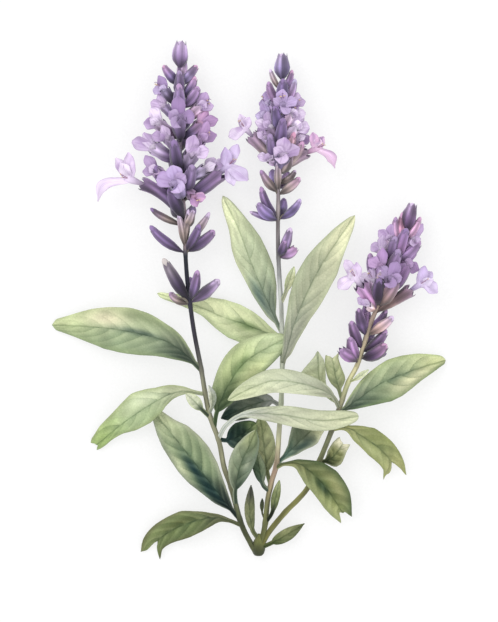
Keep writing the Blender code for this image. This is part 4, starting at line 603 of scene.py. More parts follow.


# The painted shade, a dark colour for patches, and the painted light that are laid over the leaves'
# upper faces.
SHADE = (40, 62, 50)
INK = (28, 44, 48)
PAINTED_LIGHT = (226, 232, 196)
TONES = {
    "leaf_left_long": Tone((54, 62, 53), (165, 177, 140), (182, 191, 144), (156, 168, 122), 0.45, -0.37,
        ((0.62, 0.5, 0.16, 0.5, (226, 214, 184), 0.8), (0.4, 0.06, 0.16, 0.16, INK, 0.55),
        (0.36, 0.75, 0.25, 0.3, (104, 116, 84), 0.6))),
    "leaf_left_drooping": Tone((163, 168, 138), (163, 178, 136), (145, 165, 104), (146, 157, 113), 0.3,
        -0.1, ((0.35, 0.5, 0.2, 0.5, (216, 222, 190), 0.7),)),
    "leaflet_left_axil": Tone((56, 66, 53), (184, 189, 163), (201, 203, 181), (198, 207, 162), 0.3,
        -0.07),
    "leaflet_left_inner": Tone((144, 146, 130), (153, 156, 137), (203, 202, 197), (192, 193, 183), 0.2,
        0.37),
    "leaf_low_left": Tone((5, 14, 16), (113, 128, 95), (181, 188, 150), (144, 147, 128), 0.6, -0.27,
        ((0.42, -0.25, 0.14, 0.25, (6, 30, 36), 0.95), (0.22, -0.3, 0.14, 0.5, (8, 34, 38), 0.9),
        (0.55, 0.55, 0.3, 0.35, (118, 132, 100), 0.5), (0.5, -0.75, 0.16, 0.25, (212, 214, 176), 0.7))),
    "leaf_base_left": Tone((80, 82, 58), (101, 113, 70), (102, 112, 70), (89, 90, 59), 0.5, -0.15,
        ((0.5, 0.2, 0.22, 0.35, (74, 80, 44), 0.7),)),
    "leaf_centre_upright": Tone((48, 59, 47), (97, 108, 85), (130, 137, 97), (143, 150, 133), 0.35,
        0.46, ((0.45, 0.5, 0.2, 0.35, (168, 172, 152), 0.6),)),
    "leaf_centre_broad": Tone((47, 63, 38), (170, 182, 130), (187, 199, 157), (132, 143, 107), 0.4,
        0.32, ((0.2, 0.35, 0.2, 0.5, (58, 72, 44), 0.7), (0.6, 0.6, 0.3, 0.35, (216, 222, 168), 0.7),
        (0.5, -0.1, 0.14, 0.25, (84, 108, 62), 0.6))),
    "leaf_cross_right": Tone((186, 189, 184), (186, 189, 163), (192, 195, 163), (163, 169, 141), 0.22,
        -0.05, ((0.28, 0.3, 0.14, 0.6, (150, 150, 140), 0.5),)),
    "leaf_curled_underside": Tone((17, 38, 43), (14, 30, 24), (102, 116, 71), (47, 63, 43), 0.5, -0.46),
    "leaf_behind_left": Tone((177, 185, 144), (211, 217, 172), (240, 247, 197), (184, 196, 151), 0.35,
        -0.2, ((0.22, 0, 0.12, 0.3, (80, 104, 56), 0.7),)),
    "leaf_upper_left": Tone((109, 119, 106), (181, 189, 156), (231, 236, 193), (168, 174, 140), 0.25,
        0.22, ((0.2, -0.5, 0.14, 0.5, (70, 92, 88), 0.7),)),
    "leaf_upper_right": Tone((141, 142, 128), (170, 173, 146), (221, 220, 181), (170, 177, 144), 0.35,
        -0.18, ((0.2, 0.5, 0.2, 0.5, (120, 124, 110), 0.6),)),
    "leaflet_upper_right": Tone((171, 170, 148), (191, 193, 157), (212, 217, 182), (194, 203, 147), 0.2,
        -0.27),
    "leaf_centre_back": Tone((103, 108, 75), (149, 153, 114), (146, 153, 110), (154, 160, 127), 0.35,
        -0.09),
    "leaflet_centre_dark": Tone((62, 73, 63), (64, 78, 57), (109, 120, 89), (39, 48, 33), 0.4, -0.57),
    "leaf_hidden_back": Tone((150, 152, 150), (96, 104, 92), (30, 48, 44), (120, 124, 114), 0.4),
    "leaf_folded_back": Tone((76, 103, 96), (107, 112, 89), (231, 226, 175), (230, 228, 200), 0.4, -0.6,
        ((0.4, 0.5, 0.25, 0.5, (40, 58, 56), 0.8),)),
    "leaf_low_right": Tone((93, 95, 56), (98, 106, 57), (129, 135, 81), (92, 101, 60), 0.5, -0.6,
        ((0.45, 0.15, 0.16, 0.3, (24, 44, 26), 0.85), (0.55, -0.5, 0.3, 0.4, (168, 164, 116), 0.6))),
    "leaflet_crown_upright": Tone((21, 26, 17), (106, 114, 76), (155, 161, 120), (84, 96, 52), 0.3),
    "leaflet_crown_small": Tone((70, 72, 50), (60, 66, 46), (50, 56, 44), (60, 66, 46), 0.3),
    "leaf_right_long": Tone((77, 87, 74), (144, 156, 119), (189, 194, 141), (143, 158, 104), 0.45, 0.49,
        ((0.62, 0.5, 0.25, 0.5, (222, 216, 176), 0.7), (0.5, 0, 0.16, 0.2, (92, 106, 84), 0.6))),
    "leaf_cross_left": Tone((146, 148, 129), (197, 201, 173), (187, 193, 156), (182, 187, 159), 0.22,
        0.08, ((0.32, 0.4, 0.16, 0.5, (156, 160, 142), 0.6),)),
    "leaf_axil_right_back": Tone((176, 182, 150), (172, 178, 142), (196, 202, 172), (190, 197, 165),
        0.3, -0.05),
    "leaf_axil_right_front": Tone((118, 124, 92), (156, 162, 122), (190, 194, 154), (132, 140, 100),
        0.4, -0.1),
    "leaflet_right_axil": Tone((170, 172, 131), (194, 198, 166), (217, 220, 191), (203, 211, 157), 0.2,
        -0.09),
    "leaf_right_drooping": Tone((146, 148, 101), (127, 134, 86), (150, 152, 104), (131, 138, 88), 0.4,
        0, ((0.45, 0.55, 0.35, 0.4, (172, 178, 130), 0.7),)),
    "leaf_low_right_curled": Tone((37, 44, 21), (119, 122, 79), (229, 223, 195), (171, 173, 143), 0.4,
        0.06),
    "leaflet_crown_right": Tone((60, 70, 34), (110, 114, 75), (86, 91, 59), (92, 97, 61), 0.3, 0.26),
    "leaflet_crown_left": Tone((87, 92, 60), (104, 107, 75), (60, 59, 56), (92, 96, 73), 0.3, 0.17),
}

UNDERSIDE = (176, 184, 160)
ROW_STEP = 0.62            # between a blade's rows of points
COLUMN_STEP = 1.35         # and between its columns
LEAF_EDGE = 0.42           # the blade's thickness at its margin
LEAF_MIDDLE = 0.6          # and between its veins
START_STEP = 0.004         # of a leaf's length, when its petiole is cut back from the stem
VEIN_SPACING = 10.5        # between side veins, along the midrib
VEIN_SWEEP = 0.26          # how far a side vein reaches towards the tip, as a share of the leaf
QUILT = 0.34               # how far the blade bulges between two side veins
GROOVE = 0.42              # how deep the midrib lies in the upper face
KEEL = 0.75                # how far it stands out below
TEETH = 0.16               # height of the margin's fine teeth
TOOTH_SPACING = 1.9


def petiole_width(leaf):
    """A narrow leaf has a petiole in proportion."""
    return min(PETIOLE_WIDTH, 0.45 * leaf.width)


def petiole_start(leaf, lines):
    """Share of the midrib's length at which the CAD leaf clears the stem that it grows from."""
    clearance = STEM_RADIUS + petiole_width(leaf) / 2 + GAP
    shares = np.arange(0, 1, START_STEP)
    path = curve(leaf.midrib, shares)
    nearest = np.min([np.linalg.norm(path[:, None] - line[None], axis=2).min(1) for line in lines],
                     axis=0)
    return shares[np.argmax(nearest >= clearance)]


def outline(leaf, u, v):
    """Half width of the leaf at the shares u of its length, and the share of the blade there."""
    s = np.clip((u - leaf.petiole) / (1 - leaf.petiole), 0, 1)
    if leaf.left:
        fine = np.linspace(0, 1, 241)
        soft = np.hanning(19) / np.hanning(19).sum()
        left, right = (np.convolve(np.pad(np.interp(fine, SIDE_SHARES, side), 9, mode="edge"), soft,
                                   "valid") for side in (leaf.left, leaf.right))
        half = np.where(v < 0, np.interp(u, fine, left), np.interp(u, fine, right))
        if not leaf.cleft[0]:
            half = half * np.sqrt(np.clip((1 - u) / 0.025, 0.004, 1))
        return half, s
    slender = np.where(s < leaf.widest, leaf.base, leaf.point)
    shape = ((s / leaf.widest) ** leaf.widest
             * ((1 - s) / (1 - leaf.widest)) ** (1 - leaf.widest)) ** slender
    depth, lobes = leaf.cleft
    if depth:
        lobes = lobes * (1 - 0.45 * smooth(0.8, 1.0, s) ** 2)
        shape = np.where(s > leaf.widest, np.maximum(shape, lobes), shape)
    least = np.where(s < 0.5, petiole_width(leaf) / 2, 0.28)
    return np.maximum(shape * leaf.width / 2, least), s


def vein_force(v, number, seed):
    """How strongly each side vein of a leaf shows, from its number along the midrib."""
    table = np.random.default_rng(seed + 20).uniform(0.12, 1.3, 64)
    return table[(np.floor(number).astype(int) + 32 * (v > 0)) % 64]


def leaf_colours(leaf, tone, s, v, phase, seed):
    """Display colours over the upper face of a leaf, with painted shade and painted light beside its
    veins and on its two halves.
    """
    tint = mix(tone.base, tone.middle, smooth(0.02, 0.42, s))
    tint = mix(tint, tone.tip, smooth(0.5, 0.92, s))
    tint = mix(tint, tone.margin, smooth(0.62, 1.0, np.abs(v)) * 0.7)
    # painted shade on one half of the blade and painted light on the other, as if the halves were
    # tilted from and towards the light
    lean = v * math.copysign(1, tone.sides)
    tint = mix(tint, SHADE, np.clip(lean, 0, 1) ** 0.5 * abs(tone.sides) * 0.7)
    tint = mix(tint, PAINTED_LIGHT, np.clip(-lean, 0, 1) ** 0.5 * abs(tone.sides) * 0.5)
    for along, across, length, breadth, colour, strength in tone.patches:
        drift = 0.25 * wobble(s * 9, v * 3, seed + 3)
        reach = ((s - along) / length) ** 2 + ((v - across) / breadth) ** 2
        tint = mix(tint, colour, np.exp(-1.3 * reach * (1 + drift)) * strength)
    between = phase - np.floor(phase)
    # painted shade: a dark band just after each side vein and along the midrib groove, where the
    # quilted blade would lie in shade
    wash = (1 - between) ** 1.7 * (1 - np.abs(v)) ** 0.6 * smooth(0.0, 0.1, s) * (1 - 0.5 * s)
    wash = wash * vein_force(v, phase, seed)
    near = np.exp(-(np.abs(v) / 0.16) ** 2) * (1 - 0.6 * s)
    tint = mix(tint, SHADE, np.clip((0.75 * wash + 0.5 * near) * tone.shade, 0, 1))
    # painted highlight: a pale band on each quilted bulge between the side veins
    lit = np.exp(-((between - 0.72) / 0.2) ** 2) * (1 - np.abs(v)) ** 0.5
    tint = mix(tint, PAINTED_LIGHT, 0.28 * lit * tone.shade)
    mottle = wobble(s * 26, v * 7, seed, waves=7)
    return tint * (1 + 0.06 * mottle[..., None]) + 3 * wobble(s * 8, v * 4, seed + 9)[..., None]


def leaf_piece(leaf, lines, material, seed):
    """One leaf from the stem's centre to its tip, with its veins, quilting and teeth."""
    tone = TONES[leaf.name]
    start = petiole_start(leaf, lines)
    steps = np.diff(curve(leaf.midrib, np.linspace(0, 1, 100)), axis=0)
    length = np.linalg.norm(steps, axis=1).sum()
    rows = int(np.clip(length * (1 - start) / ROW_STEP, 40, 170))
    columns = 2 * int(np.clip(leaf.width / COLUMN_STEP, 4, 17)) + 1
    inside = max(2, int(rows * start / (1 - start) / 2))
    shares = np.concatenate([np.linspace(-start / (1 - start), 0, inside, endpoint=False),
                             np.linspace(0, 1, rows)])
    u, v = np.meshgrid(shares, np.linspace(-1, 1, columns), indexing="ij")
    half, s = outline(leaf, u, v)
    place = s * length
    rough = wobble(place * 0.16, np.sign(v) * 2, seed + 1) * 0.03
    half = half * (1 + rough * smooth(0.03, 0.15, s))
    saw = np.abs((place / TOOTH_SPACING + 0.3 * wobble(place * 0.5, v, seed + 2)) % 1 - 0.4)
    half = half + TEETH * (0.5 - saw) * (np.abs(v) > 0.97) * smooth(0.04, 0.2, s)
    depth, _ = leaf.cleft
    notch = 1 + 0.35 * wobble(v * 5, 0, seed + 4)
    u = np.where(u > 0, u - depth * notch * (1 - np.abs(v)) * np.abs(u) ** 6, u)
    path = curve(leaf.midrib, start + (1 - start) * np.linspace(u.min(), 1, 161))
    tangents = directions(path)
    places = np.linspace(u.min(), 1, 161)
    centre = np.stack([np.interp(u, places, path[:, k]) for k in range(3)], axis=-1)
    tangent = np.stack([np.interp(u, places, tangents[:, k]) for k in range(3)], axis=-1)
    side = unit(np.cross(tangent, UP))
    normal = np.cross(side, tangent)
    across = v * half
    count = max(4.0, length / VEIN_SPACING)
    sweep = VEIN_SWEEP * np.abs(v) ** 1.35
    phase = (s - sweep) * count + 0.28 * np.sign(v) + 0.12 * wobble(s * 7, v * 2, seed + 5)
    between = phase - np.floor(phase)
    blade = smooth(0.02, 0.14, s) * smooth(0.0, 0.12, 1 - s)
    edge = np.abs(v) ** 1.5
    wave = np.sin(2 * math.pi * leaf.waves * u + leaf.phase + 2.1 * (v > 0))
    lift = edge * (leaf.fold * half + leaf.wave_height * wave * np.sqrt(np.sin(math.pi * s)))
    lift += QUILT * blade * np.sin(math.pi * between) ** 0.7 * (1 - np.abs(v) ** 3) * np.minimum(
        half / 7, 1) * np.minimum(np.abs(v) * 4, 1)
    lift += 0.1 * blade * wobble(place * 1.9, across * 1.9, seed + 6)
    lift -= GROOVE * np.exp(-(across / 0.75) ** 2) * smooth(0, 0.08, s) * (1 - 0.6 * s)
    centre = centre + side * across[..., None] + normal * lift[..., None]
    rod = np.sqrt(np.clip(1 - v ** 2, 0, 1)) * petiole_width(leaf) * 0.62
    thick = LEAF_EDGE + (LEAF_MIDDLE - LEAF_EDGE) * (1 - v ** 2)
    thick = thick + KEEL * np.exp(-(across / 0.6) ** 2) * (1 - 0.8 * s)
    thick = np.maximum(rod, 0.2) * (1 - smooth(0, 0.07, s)) + thick * smooth(0, 0.07, s)
    thick = thick * (1 - 0.5 * smooth(0.97, 1.0, u))
    centre[..., 2] = np.maximum(centre[..., 2], thick / 2)
    tint = leaf_colours(leaf, tone, s, v, phase, seed)
    under = mix(tint, UNDERSIDE, 0.45)
    shape = Shape()
    add_sheet(shape, centre, thick, tint, under, across=across, phase=phase, edge=np.abs(v),
              force=vein_force(v, phase + 0.5, seed))
    shape.build(leaf.name + "_blade", leaf.name, "sage_leaf", material)


# --- stems ---

# Display colours up each stem, as (y, colour).
STEM_TONES = {
    "left": ((0, (70, 74, 46)), (18, (60, 66, 44)), (45, (118, 118, 94)), (90, (116, 116, 96)),
             (105, (76, 76, 70)), (118, (44, 42, 50)), (148, (34, 34, 46)), (163, (28, 32, 38)),
             (168, (110, 98, 102)), (190, (142, 128, 134)), (230, (128, 112, 132)),
             (284, (104, 84, 120))),
    "middle": ((0, (72, 76, 44)), (25, (98, 100, 66)), (45, (140, 120, 104)), (60, (148, 146, 118)),
               (80, (160, 166, 144)), (115, (176, 180, 168)), (150, (146, 148, 146)),
               (165, (92, 90, 92)), (185, (120, 112, 112)), (284, (126, 106, 136))),
    "right": ((0, (84, 84, 44)), (30, (108, 108, 64)), (60, (90, 94, 70)), (78, (96, 92, 78)),
              (92, (170, 172, 130)), (104, (164, 156, 124)), (125, (150, 134, 120)),
              (200, (120, 96, 116))),
}
CROWN_DARK, CROWN_PALE = (52, 58, 34), (96, 100, 58)
CROWN_PATH = ((0.3, -2.4, 2.7), (0.3, 0.6, 3.1), (0.4, 4.0, 3.8), (0.6, 9.6, 5.2))
STEM_CORNERS = 0.09        # how far a stem's four corners stand out, as a share of its radius
STEM_NODES = {"left": (18, 36, 63, 75, 88, 101, 137, 165), "middle": (16, 36, 48, 83, 104, 121, 162),
              "right": (22, 50, 68, 78, 84, 94)}


def stem_radius(y):
    """Radius of a stem or an axis, by its height in the bunch."""
    return STEM_RADIUS + (STEM_TIP_RADIUS - STEM_RADIUS) * np.clip(y / 270.0, 0, 1)


def stem_tint(side, y):
    """Display colours of a stem at the heights y."""
    heights = [stop[0] for stop in STEM_TONES[side]]
    colours = np.array([stop[1] for stop in STEM_TONES[side]], dtype=float)
    return np.stack([np.interp(y, heights, colours[:, k]) for k in range(3)], axis=-1)


def add_stem(shape, side, points, low, high, around=18, seed=0):
    """A four-cornered stem between two heights, swollen at its nodes and streaked along."""
    length = high - low
    path = curve(points, np.linspace(0, 1, 900))
    path = path[(path[:, 1] >= low) & (path[:, 1] <= high)]
    keep = np.linspace(0, len(path) - 1, max(8, int(length / 0.9))).astype(int)
    path = path[keep]
    _, normals, across = carried_frames(path)
    turn = full_turn(around)
    y = path[:, 1]
    swell = sum(np.exp(-((y - node) / 1.6) ** 2) for node in STEM_NODES[side])
    radius = stem_radius(y) * (1 + 0.12 * np.clip(swell, 0, 1) + 0.03 * wobble(y * 0.4, 0, seed))
    ring = radius[:, None] * (1 + STEM_CORNERS * np.cos(4 * turn)[None, :])
    grid = rings(path, ring, turn, normals, across)
    tint = stem_tint(side, y)[:, None]
    streak = wobble(y[:, None] * 0.25, turn[None, :] * 2.2, seed + 1, waves=7)
    tint = tint * (1 + 0.14 * streak[..., None])
    # painted light: each stem is painted lighter on its upper side and darker on its lower side
    light = np.clip(grid[..., 2] - path[:, None, 2], -2, 2) / 2
    tint = tint * (1 + 0.10 * light[..., None])
    add_tube(shape, grid, tint)


def stem_pieces(material):
    """The three stems and the crown in which they meet."""
    for number, (side, points) in enumerate(STEMS.items()):
        shape = Shape()
        add_stem(shape, side, points, -3.0, SPIKE_START[side], seed=40 + number)
        shape.build(f"stem_{side}", "branching_stem", "sage_stem", material)
    crown = Shape()
    share = np.linspace(0, 1, 26)
    path = curve(CROWN_PATH, share)
    _, normals, across = carried_frames(path)
    turn = full_turn(40)
    radius = np.interp(share, (0, 0.08, 0.25, 0.6, 1), (2.3, 3.1, 3.7, 3.2, 0.9))
    lobes = 1 + 0.07 * np.cos(3 * turn + 0.4)[None, :] * share[:, None] ** 0.5
    grain = 1 + 0.025 * wobble(share[:, None] * 9, turn[None, :] * 3, 51)
    ring = radius[:, None] * lobes * grain
    tint = mix(CROWN_DARK, CROWN_PALE, smooth(0.1, 0.8, share))[:, None]
    tint = tint * (1 + 0.12 * wobble(share[:, None] * 4, turn[None, :] * 3, 52)[..., None])
    add_tube(crown, rings(path, ring, turn, normals, across), tint)
    crown.build("stem_crown", "branching_stem", "sage_stem", material)


# --- flowers ---

# Display colours of calyces and buds, and of corollas, by the letter that stands for them below.
CALYX_TONES = {
    "X": (50, 42, 66), "D": (76, 64, 96), "N": (88, 78, 116), "V": (108, 92, 130),
    "B": (116, 106, 146), "M": (136, 112, 150), "K": (160, 128, 156), "O": (112, 102, 102),
    "U": (140, 130, 128), "G": (146, 142, 116), "L": (164, 146, 178),
}
COROLLA_TONES = {
    "d": (136, 112, 158), "q": (158, 136, 176), "m": (172, 140, 182), "k": (200, 156, 192),
    "r": (204, 150, 178), "l": (184, 164, 206), "b": (186, 174, 208), "p": (206, 186, 216),
    "w": (220, 206, 228), "s": (196, 188, 186),
}
# How much warmer and paler the calyces of each spike are than their letters say.
CASTS = {"left": (1.06, 1.04, 1.0), "middle": (1.16, 1.14, 1.12), "right": (1.20, 1.08, 1.06)}
BRACT_TONES = ((104, 96, 84), (92, 80, 92), (124, 122, 92))
# Painted shade on the inner wall of each calyx.
CALYX_HOLLOW_SHADE = (48, 38, 68)
TOOTH_TIP = (182, 160, 196)
THROAT = (244, 240, 246)
VEIN_VIOLET = (138, 110, 156)
STAMEN = (150, 104, 132)
STYLE = (140, 100, 150)
ANTHER = (214, 186, 150)

CALYX_END = 0.60           # share of a flower's length where its calyx ends
UPWARD = 0.35              # how far the open flowers turn to face up, as a slope
LOWEST_FACING_UP = 6.0     # the height above which they do
CALYX_AROUND = 20
PETAL_SHEET = 0.32         # a petal's thickness
BRACT_SHEET = 0.4          # a bract's
# Along a calyx: share of its length, radius, and how far its five teeth reach there.
OPEN_CALYX = ((0.0, 0.6, 0), (0.10, 0.75, 0), (0.22, 1.6, 0), (0.40, 2.5, 0), (0.62, 2.85, 0),
              (0.82, 2.9, 0.1), (0.92, 3.05, 0.9), (1.0, 3.3, 2.3), (0.99, 3.1, 2.2),
              (0.90, 2.7, 0.8), (0.75, 2.4, 0), (0.5, 1.9, 0), (0.4, 0.3, 0))
CLOSED_CALYX = ((0.0, 0.6, 0), (0.08, 0.75, 0), (0.20, 1.9, 0), (0.36, 2.9, 0), (0.54, 3.3, 0),
                (0.72, 3.1, 0.2), (0.84, 2.7, 1.0), (0.92, 2.3, 2.2), (0.91, 2.1, 2.1),
                (0.80, 2.1, 0.8), (0.6, 1.8, 0), (0.5, 0.3, 0))


def axis_point(line, y):
    """Point of a stem's centreline at a given y, and its direction there."""
    y = min(y, line[-1][1])
    point, ahead, behind = (np.array([np.interp(at, line[:, 1], line[:, k]) for k in range(3)])
                            for at in (y, y + 2, y - 2))
    return point, unit(ahead - behind)


def flower_path(flower, line, count):
    """Points from the axis to the flower's tip, which bows outwards and then turns up."""
    base, along = axis_point(line, flower.base)
    tip = np.array(flower.tip)
    reach = tip - base
    outward = reach - along * reach.dot(along)
    control = base + outward * (0.5 + flower.bend) + along * reach.dot(along) * (0.5 - flower.bend)
    t = np.linspace(0, 1, count)[:, None]
    return (1 - t) ** 2 * base + 2 * t * (1 - t) * control + t ** 2 * tip


def outward_frames(path, line):
    """For each point of a flower's path: its tangent, away from the axis, and across both."""
    foot, axis = axis_point(line, path[-1][1])
    out = path[-1] - foot
    out = out - axis * out.dot(axis)
    if np.linalg.norm(out) < 1.5:
        out = np.array([0.0, 0.3, 1.0])
    out = unit(out) + np.array([0.0, 0.0, UPWARD if path[-1][2] > LOWEST_FACING_UP else -UPWARD])
    tangents = directions(path)
    normals = unit(out - tangents * (tangents @ out)[:, None])
    return tangents, normals, np.cross(tangents, normals)


def along_path(path, frames, shares):
    """The path and its three directions at shares of its length."""
    places = np.linspace(0, 1, len(path))
    pick = [np.stack([np.interp(shares, places, row[:, k]) for k in range(3)], axis=-1)
            for row in (path, *frames)]
    return pick[0], unit(pick[1]), unit(pick[2]), unit(pick[3])


def add_cup(shape, path, frames, stations, size, tint, flush, seed):
    """A ribbed calyx with five pointed teeth and an inner wall, flushed towards its mouth, with painted
    shade on the inner wall and painted light on its ribs.
    """
    shares, radii, reach = np.array(stations, dtype=float).T
    fine = np.linspace(0, len(shares) - 1, 3 * len(shares) - 2)
    shares, radii, reach = (np.interp(fine, np.arange(len(shares)), row)
                            for row in (shares, radii, reach))
    centre, tangent, normal, across = along_path(path, frames, shares)
    turn = full_turn(CALYX_AROUND)
    tooth = 1 - np.abs(2 * ((turn * 5 / (2 * math.pi) + 0.25) % 1) - 1)
    ribs = 1 + 0.09 * np.cos(5 * turn + math.pi / 2)[None, :] * smooth(0.1, 0.4, shares)[:, None]
    uneven = 1 + 0.10 * wobble(shares[:, None] * 6, turn[None, :], seed)
    ring = (radii * size)[:, None] * ribs * uneven
    grid = rings(centre, ring, turn, normal, across)
    grid = grid + tangent[:, None] * (reach * size)[:, None, None] * tooth[None, :, None]
    inner = smooth(0.60, 0.70, fine / fine[-1])
    tone = mix(np.array(tint) * 0.6, np.array(tint) * 1.12, smooth(0.05, 0.6, shares))
    tone = mix(tone, np.array(flush) * 0.92, smooth(0.4, 0.95, shares) * 0.6)[:, None]
    # painted light and shade: the crests of the five ribs are painted lighter and the furrows between
    # them darker
    tone = tone * (1 + 0.2 * np.cos(5 * turn + math.pi / 2)[None, :, None])
    blot = smooth(0.1, 0.9, wobble(shares[:, None] * 4 + 2, turn[None, :] * 0.8, seed + 4))
    tone = mix(tone, np.array(tint) * 0.5, blot * 0.6)
    # painted shade inside the calyx, on its inner wall
    tone = mix(tone, CALYX_HOLLOW_SHADE, (inner * 0.75)[:, None])
    tone = mix(tone, TOOTH_TIP, (reach / 2.6)[:, None] ** 2 * tooth[None, :] ** 2 * 0.45)
    tone = tone * (1 + 0.10 * wobble(shares[:, None] * 5, turn[None, :] * 1.5, seed + 1)[..., None])
    add_tube(shape, grid, tone, phase=turn * 10 / (2 * math.pi))


def petal_tone(tint, along, across, seed, veins=0.25):
    """Display colours over a petal: a pale throat, a fuller rim and branching veins."""
    tone = mix(mix(tint, THROAT, 0.3), tint, smooth(0.0, 0.5, along))
    deep = smooth(0.3, 1.0, wobble(along * 3, across * 1.5, seed + 5))
    tone = mix(tone, mix(tint, VEIN_VIOLET, 0.6), deep * 0.8)
    tone = mix(tone, mix(tint, VEIN_VIOLET, 0.3), smooth(0.75, 1.0, np.abs(across)) * 0.5)
    line = np.abs(((across * (3.5 + along) + 0.1 * wobble(along * 6, across, seed)) % 1) - 0.5)
    tone = mix(tone, VEIN_VIOLET, smooth(0.34, 0.5, line) * veins * smooth(0.05, 0.4, along))
    return tone * (1 + 0.05 * wobble(along * 6, across * 3, seed + 1)[..., None])


def add_lobe(shape, points, widths, size, face, tint, seed, frill=0.35, cup=0.25, rows=29,
             columns=19):
    """A petal's lobe along a curve, rounded at its end, frilled at its rim and gently cupped."""
    t, v = blade_grid(rows, columns)
    path = curve(points, np.linspace(0, 1, rows))
    tangents = directions(path)
    across = unit(np.cross(tangents, face))
    normals = np.cross(across, tangents)
    half = np.interp(t, np.linspace(0, 1, len(widths)), np.array(widths) * size / 2)
    blunt = np.random.default_rng(seed + 7).uniform(0.5, 0.8)
    half = half * np.sqrt(np.clip(1 - smooth(blunt, 1.0, t) ** 1.6 * 0.95, 0, 1))
    half = half * (1 + 0.07 * wobble(t * 7, np.sign(v), seed))
    ruffle = wobble(t * 7, v * 2.5, seed + 1) * np.abs(v) * smooth(0.1, 0.5, t)
    lift = (cup * half * v ** 2 + frill * ruffle)[..., None]
    grid = path[:, None] + across[:, None] * (half * v)[..., None] + normals[:, None] * lift
    tone = petal_tone(tint, t, v, seed + 2, 0.35)
    add_sheet(shape, grid, PETAL_SHEET, tone, mix(tone, THROAT, 0.2), phase=v * 3)


def add_corolla(shape, path, line, size, tint, seed):
    """A small two-lipped corolla: its tube, its arched upper lip, and a lower lip of two lobes."""
    rule = np.random.default_rng(seed)
    around = full_turn(14)
    share = np.linspace(0.3, 0.72, 12)
    frames = outward_frames(path, line)
    centre, _, normal, across = along_path(path, frames, share)
    radius = np.interp(share, (0.3, 0.5, 0.66, 0.72), (1.3, 1.9, 2.2, 1.6)) * size
    grid = rings(centre, radius, around, normal, across)
    add_tube(shape, grid, np.array(tint) * 0.84, phase=around)
    mouth = centre[-4]
    tip = path[-1]
    along = unit(tip - mouth)
    foot, axis = axis_point(line, mouth[1])
    out = (mouth - foot) * (1.0, 1.0, 0.2)
    out = out - axis * out.dot(axis)
    facing = np.linalg.norm(out) < 4.5
    flat = unit(np.cross(axis, UP)) * rule.choice((-1.0, 1.0))
    out = flat if facing else unit(out)
    length = size * rule.uniform(7.4, 9.4)
    arch = mouth + (tip - mouth) * 0.5 + UP * 1.1 * size
    lobes = [((mouth, arch, tip + along * 1.2 * size), (3.0, 5.4, 6.2, 4.6), -0.22, 0.0)]
    low = mouth + out * 0.86 * length + along * rule.uniform(0.05, 0.5) * length - UP * 0.6 * size
    lobes.append((bowed(mouth, low, 0.8 * size), (2.6, 4.6, 6.2, 4.8), 0.2, 0.1))
    if facing or rule.random() < 0.6:
        turn = -0.75 if facing else rule.uniform(0.3, 0.6)
        near = mouth + (out * turn + along * 0.5) * length * 0.7 + UP * rule.uniform(1.6, 2.8) * size
        lobes.append((bowed(mouth, near, 1.2 * size), (2.2, 4.0, 5.0, 3.6), 0.2, 0.25))
    if facing:
        front = mouth + (out * rule.uniform(-0.4, 0.4) - along * 0.55) * length + UP * 5.2 * size
        lobes.append((bowed(mouth, front, 1.6 * size), (2.4, 4.6, 6.0, 4.6), 0.2, 0.15))
    for number, (points, widths, cup, fade) in enumerate(lobes):
        face = UP + 0.45 * np.array([*rule.uniform(-1, 1, 2), 0.0])
        shade = mix(mix(tint, VEIN_VIOLET, rule.uniform(0.0, 0.65)), THROAT, fade * 0.6)
        add_lobe(shape, points, widths, size, face, shade, seed + 3 * number + 1, 0.45, cup, 21, 13)


def add_thread(shape, points, radii, tint, around=6, count=12):
    """A stamen, style or hair-thin stalk along a curve."""
    path = curve(points, np.linspace(0, 1, count))
    _, normals, across = carried_frames(path)
    radius = np.interp(np.linspace(0, 1, count), np.linspace(0, 1, len(radii)), radii)
    grid = rings(path, radius, full_turn(around), normals, across)
    add_tube(shape, grid, tint)


def add_stamens(shape, path, frames, size, seed):
    """Two stamens and a forked style that lean out of the mouth."""
    rule = np.random.default_rng(seed)
    centre, tangent, normal, across = (row[0] for row in along_path(path, frames, np.array([0.62])))
    for lean in (-0.9, 0.9):
        reach = size * rule.uniform(4.4, 6.0)
        tip = centre + tangent * reach + normal * size * rule.uniform(1.4, 3.0)
        tip = tip + across * lean * size
        middle = (centre + tip) / 2 + tangent * 0.8 * size - normal * 0.2 * size
        add_thread(shape, (centre, middle, tip), (0.20, 0.17, 0.15), STAMEN, 5, 8)
        add_thread(shape, (tip - across * 0.7, tip + normal * 0.2, tip + across * 0.7),
                   (0.12, 0.36, 0.36, 0.12), ANTHER, 6, 6)
    tip = centre + tangent * 6.6 * size + normal * 2.0 * size
    fork = tip + normal * 0.9 * size
    add_thread(shape, (centre, (centre + tip) / 2 - normal * 0.5 * size, tip), (0.2, 0.16, 0.15),
               STYLE, 5, 8)
    for lean in (-0.6, 0.6):
        add_thread(shape, (tip, (tip + fork) / 2 + across * lean * 0.4, fork + across * lean),
                   (0.15, 0.14, 0.1), STYLE, 5, 5)


def add_bract(shape, base, tip, face, width, tint, seed):
    """A small pointed bract from the axis, keeled along its middle."""
    t, v = blade_grid(15, 9)
    base, tip, face = np.array(base), np.array(tip), unit(face)
    way = unit(tip - base)
    across = unit(np.cross(way, face))
    length = np.linalg.norm(tip - base)
    half = np.maximum(width / 2 * np.sin(math.pi * t ** 0.8) ** 0.9, 0.16)
    bow = 0.12 * length * np.sin(math.pi * t)
    grid = (base + way * (length * t)[..., None] + across * (half * v)[..., None]
            + unit(np.cross(across, way)) * (bow + 0.35 * half * v ** 2)[..., None])
    tone = mix(np.array(tint) * 0.8, tint, smooth(0.1, 0.8, t))
    tone = mix(tone, np.array(tint) * 1.2, smooth(0.55, 1.0, np.abs(v)) * 0.5)
    tone = tone * (1 + 0.08 * wobble(t * 6, v * 2, seed)[..., None])
    add_sheet(shape, grid, BRACT_SHEET, tone, phase=v * 2 + 0.5)


